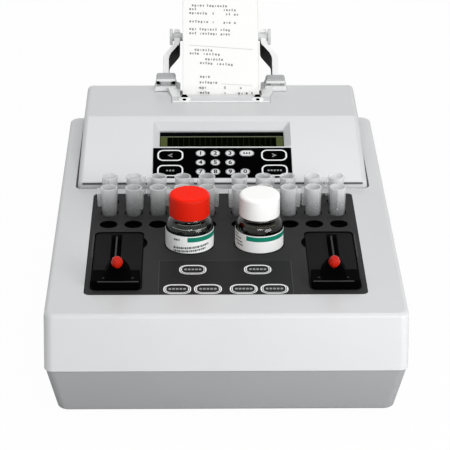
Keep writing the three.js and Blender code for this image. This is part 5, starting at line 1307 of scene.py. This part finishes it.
# %% Circuit board
BOARD_WIDTH, BOARD_DEPTH, BOARD_Y = 150, 110, 225
# Shares of the board's size: where each part stands, how large it is, and how tall next to the tallest
PARTS = [(-0.28, 0.22, 0.24, 0.3, 1), (0.08, -0.1, 0.2, 0.27, 0.35), (0.32, 0.25, 0.16, 0.22, 0.7),
         (-0.25, -0.28, 0.3, 0.1, 0.6)]
board = beam("board_sheet", 0, 75, (170, 280), (10.8, 12.4), 0.3)
for x, y, width, depth, tall in PARTS:
    cy, half_depth = BOARD_Y + y * BOARD_DEPTH, depth * BOARD_DEPTH / 2
    join(board, beam("part", x * BOARD_WIDTH, width * BOARD_WIDTH / 2, (cy - half_depth, cy + half_depth),
                     (11.6, 11.6 + tall * 9 + 0.8), 0.6))
dress(board, laminate, "main_board")
print("board with", len(PARTS), "parts")

# %% [markdown]
# The back wall has what such instruments carry: a round socket for the power cord, a rocker switch and a
# serial port. All three sit at the same height and stand off the wall by a hair.

# %% Rear connections
REAR = COVER_DEPTH + 0.3
SOCKET = [(0, -14.1), (5.2, -14.1), (5.6, -13.7), (5.6, 0), (7.7, 0), (8, 0.3), (8, 1.2), (7.6, 1.6),
          (3.6, 1.6), (3.1, 1.1), (3.1, -12.3), (1, -12.3), (1, -2.1), (0.6, -1.5), (0, -1.5)]
dress(turned("power_socket", SOCKET, (INLET_X, REAR, REAR_Z), 40, "Y"), connector_black, "power_inlet")


def in_switch(a, b, c):
    return SWITCH_X + a, REAR + 1.6 - c, REAR_Z + b


switch = slab("switch_bezel", rounded(17, 23.6, 1, 0, 0), 0, 1.6, place=in_switch)
join(switch, slab("switch_body", rounded(13, 19.6, 0.6, 0, 0), 0.8, 13.6, place=in_switch))
cut(switch, slab("switch_room", rounded(10.6, 17.2, 0.4, 0, 0), -1, 12.4, place=in_switch))
dress(switch, connector_black, "switch_frame")
HALF = 19.6 / 2 - 1.2 - 0.9
ROCK = softened([(-4.6, HALF / 3, 0), (-4.6, -HALF / 3, 0), (-2.2, -HALF, 0), (2.4, -HALF, 0.8),
                 (0.8, 0, 2.4), (2.4, HALF, 0.8), (-2.2, HALF, 0)])
lean = math.radians(-8)
tilted = [(REAR - 0.6 + ((y + 2.2) * math.cos(lean) - z * math.sin(lean)),
           REAR_Z + ((y + 2.2) * math.sin(lean) + z * math.cos(lean))) for y, z in ROCK]
dress(prism("rocker", tilted, SWITCH_X - 4.9, SWITCH_X + 4.9), connector_black, "power_rocker")


def in_port(a, b, c):
    return PORT_X + a, REAR + c, REAR_Z + b


D_SHAPE = polygon((-8.5, 4.6), (-7.0, -4.6), (7.0, -4.6), (8.5, 4.6))
port = plate("port_flange", rounded(31, 12.6, 0.8, 0, 0), 0, 1.6, edge=0.2, place=in_port)
join(port, plate("port_shell", D_SHAPE, -9, 7.1, edge=0.3, place=in_port))
cut(port, slab("port_mouth", drawn_in(D_SHAPE, 0.8), 2.6, 8, place=in_port))
dress(port, nickel, "serial_port")
insert = plate("port_insert", drawn_in(D_SHAPE, 1.2), 2.6, 6.6, edge=0.2, place=in_port)
extra(insert, connector_black, "serial_port")
print("socket, switch and port")

# %% [markdown]
# The drawing's box and the visual model's box are both measured, and how far the second reaches past the
# first is printed.

# %% Finish
visual_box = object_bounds()
growth = [(v - c) * 1000 for cad, seen in zip(cad_box, visual_box) for c, v in zip(cad, seen)]
print("grown by", [round(value, 2) for value in growth], "mm")
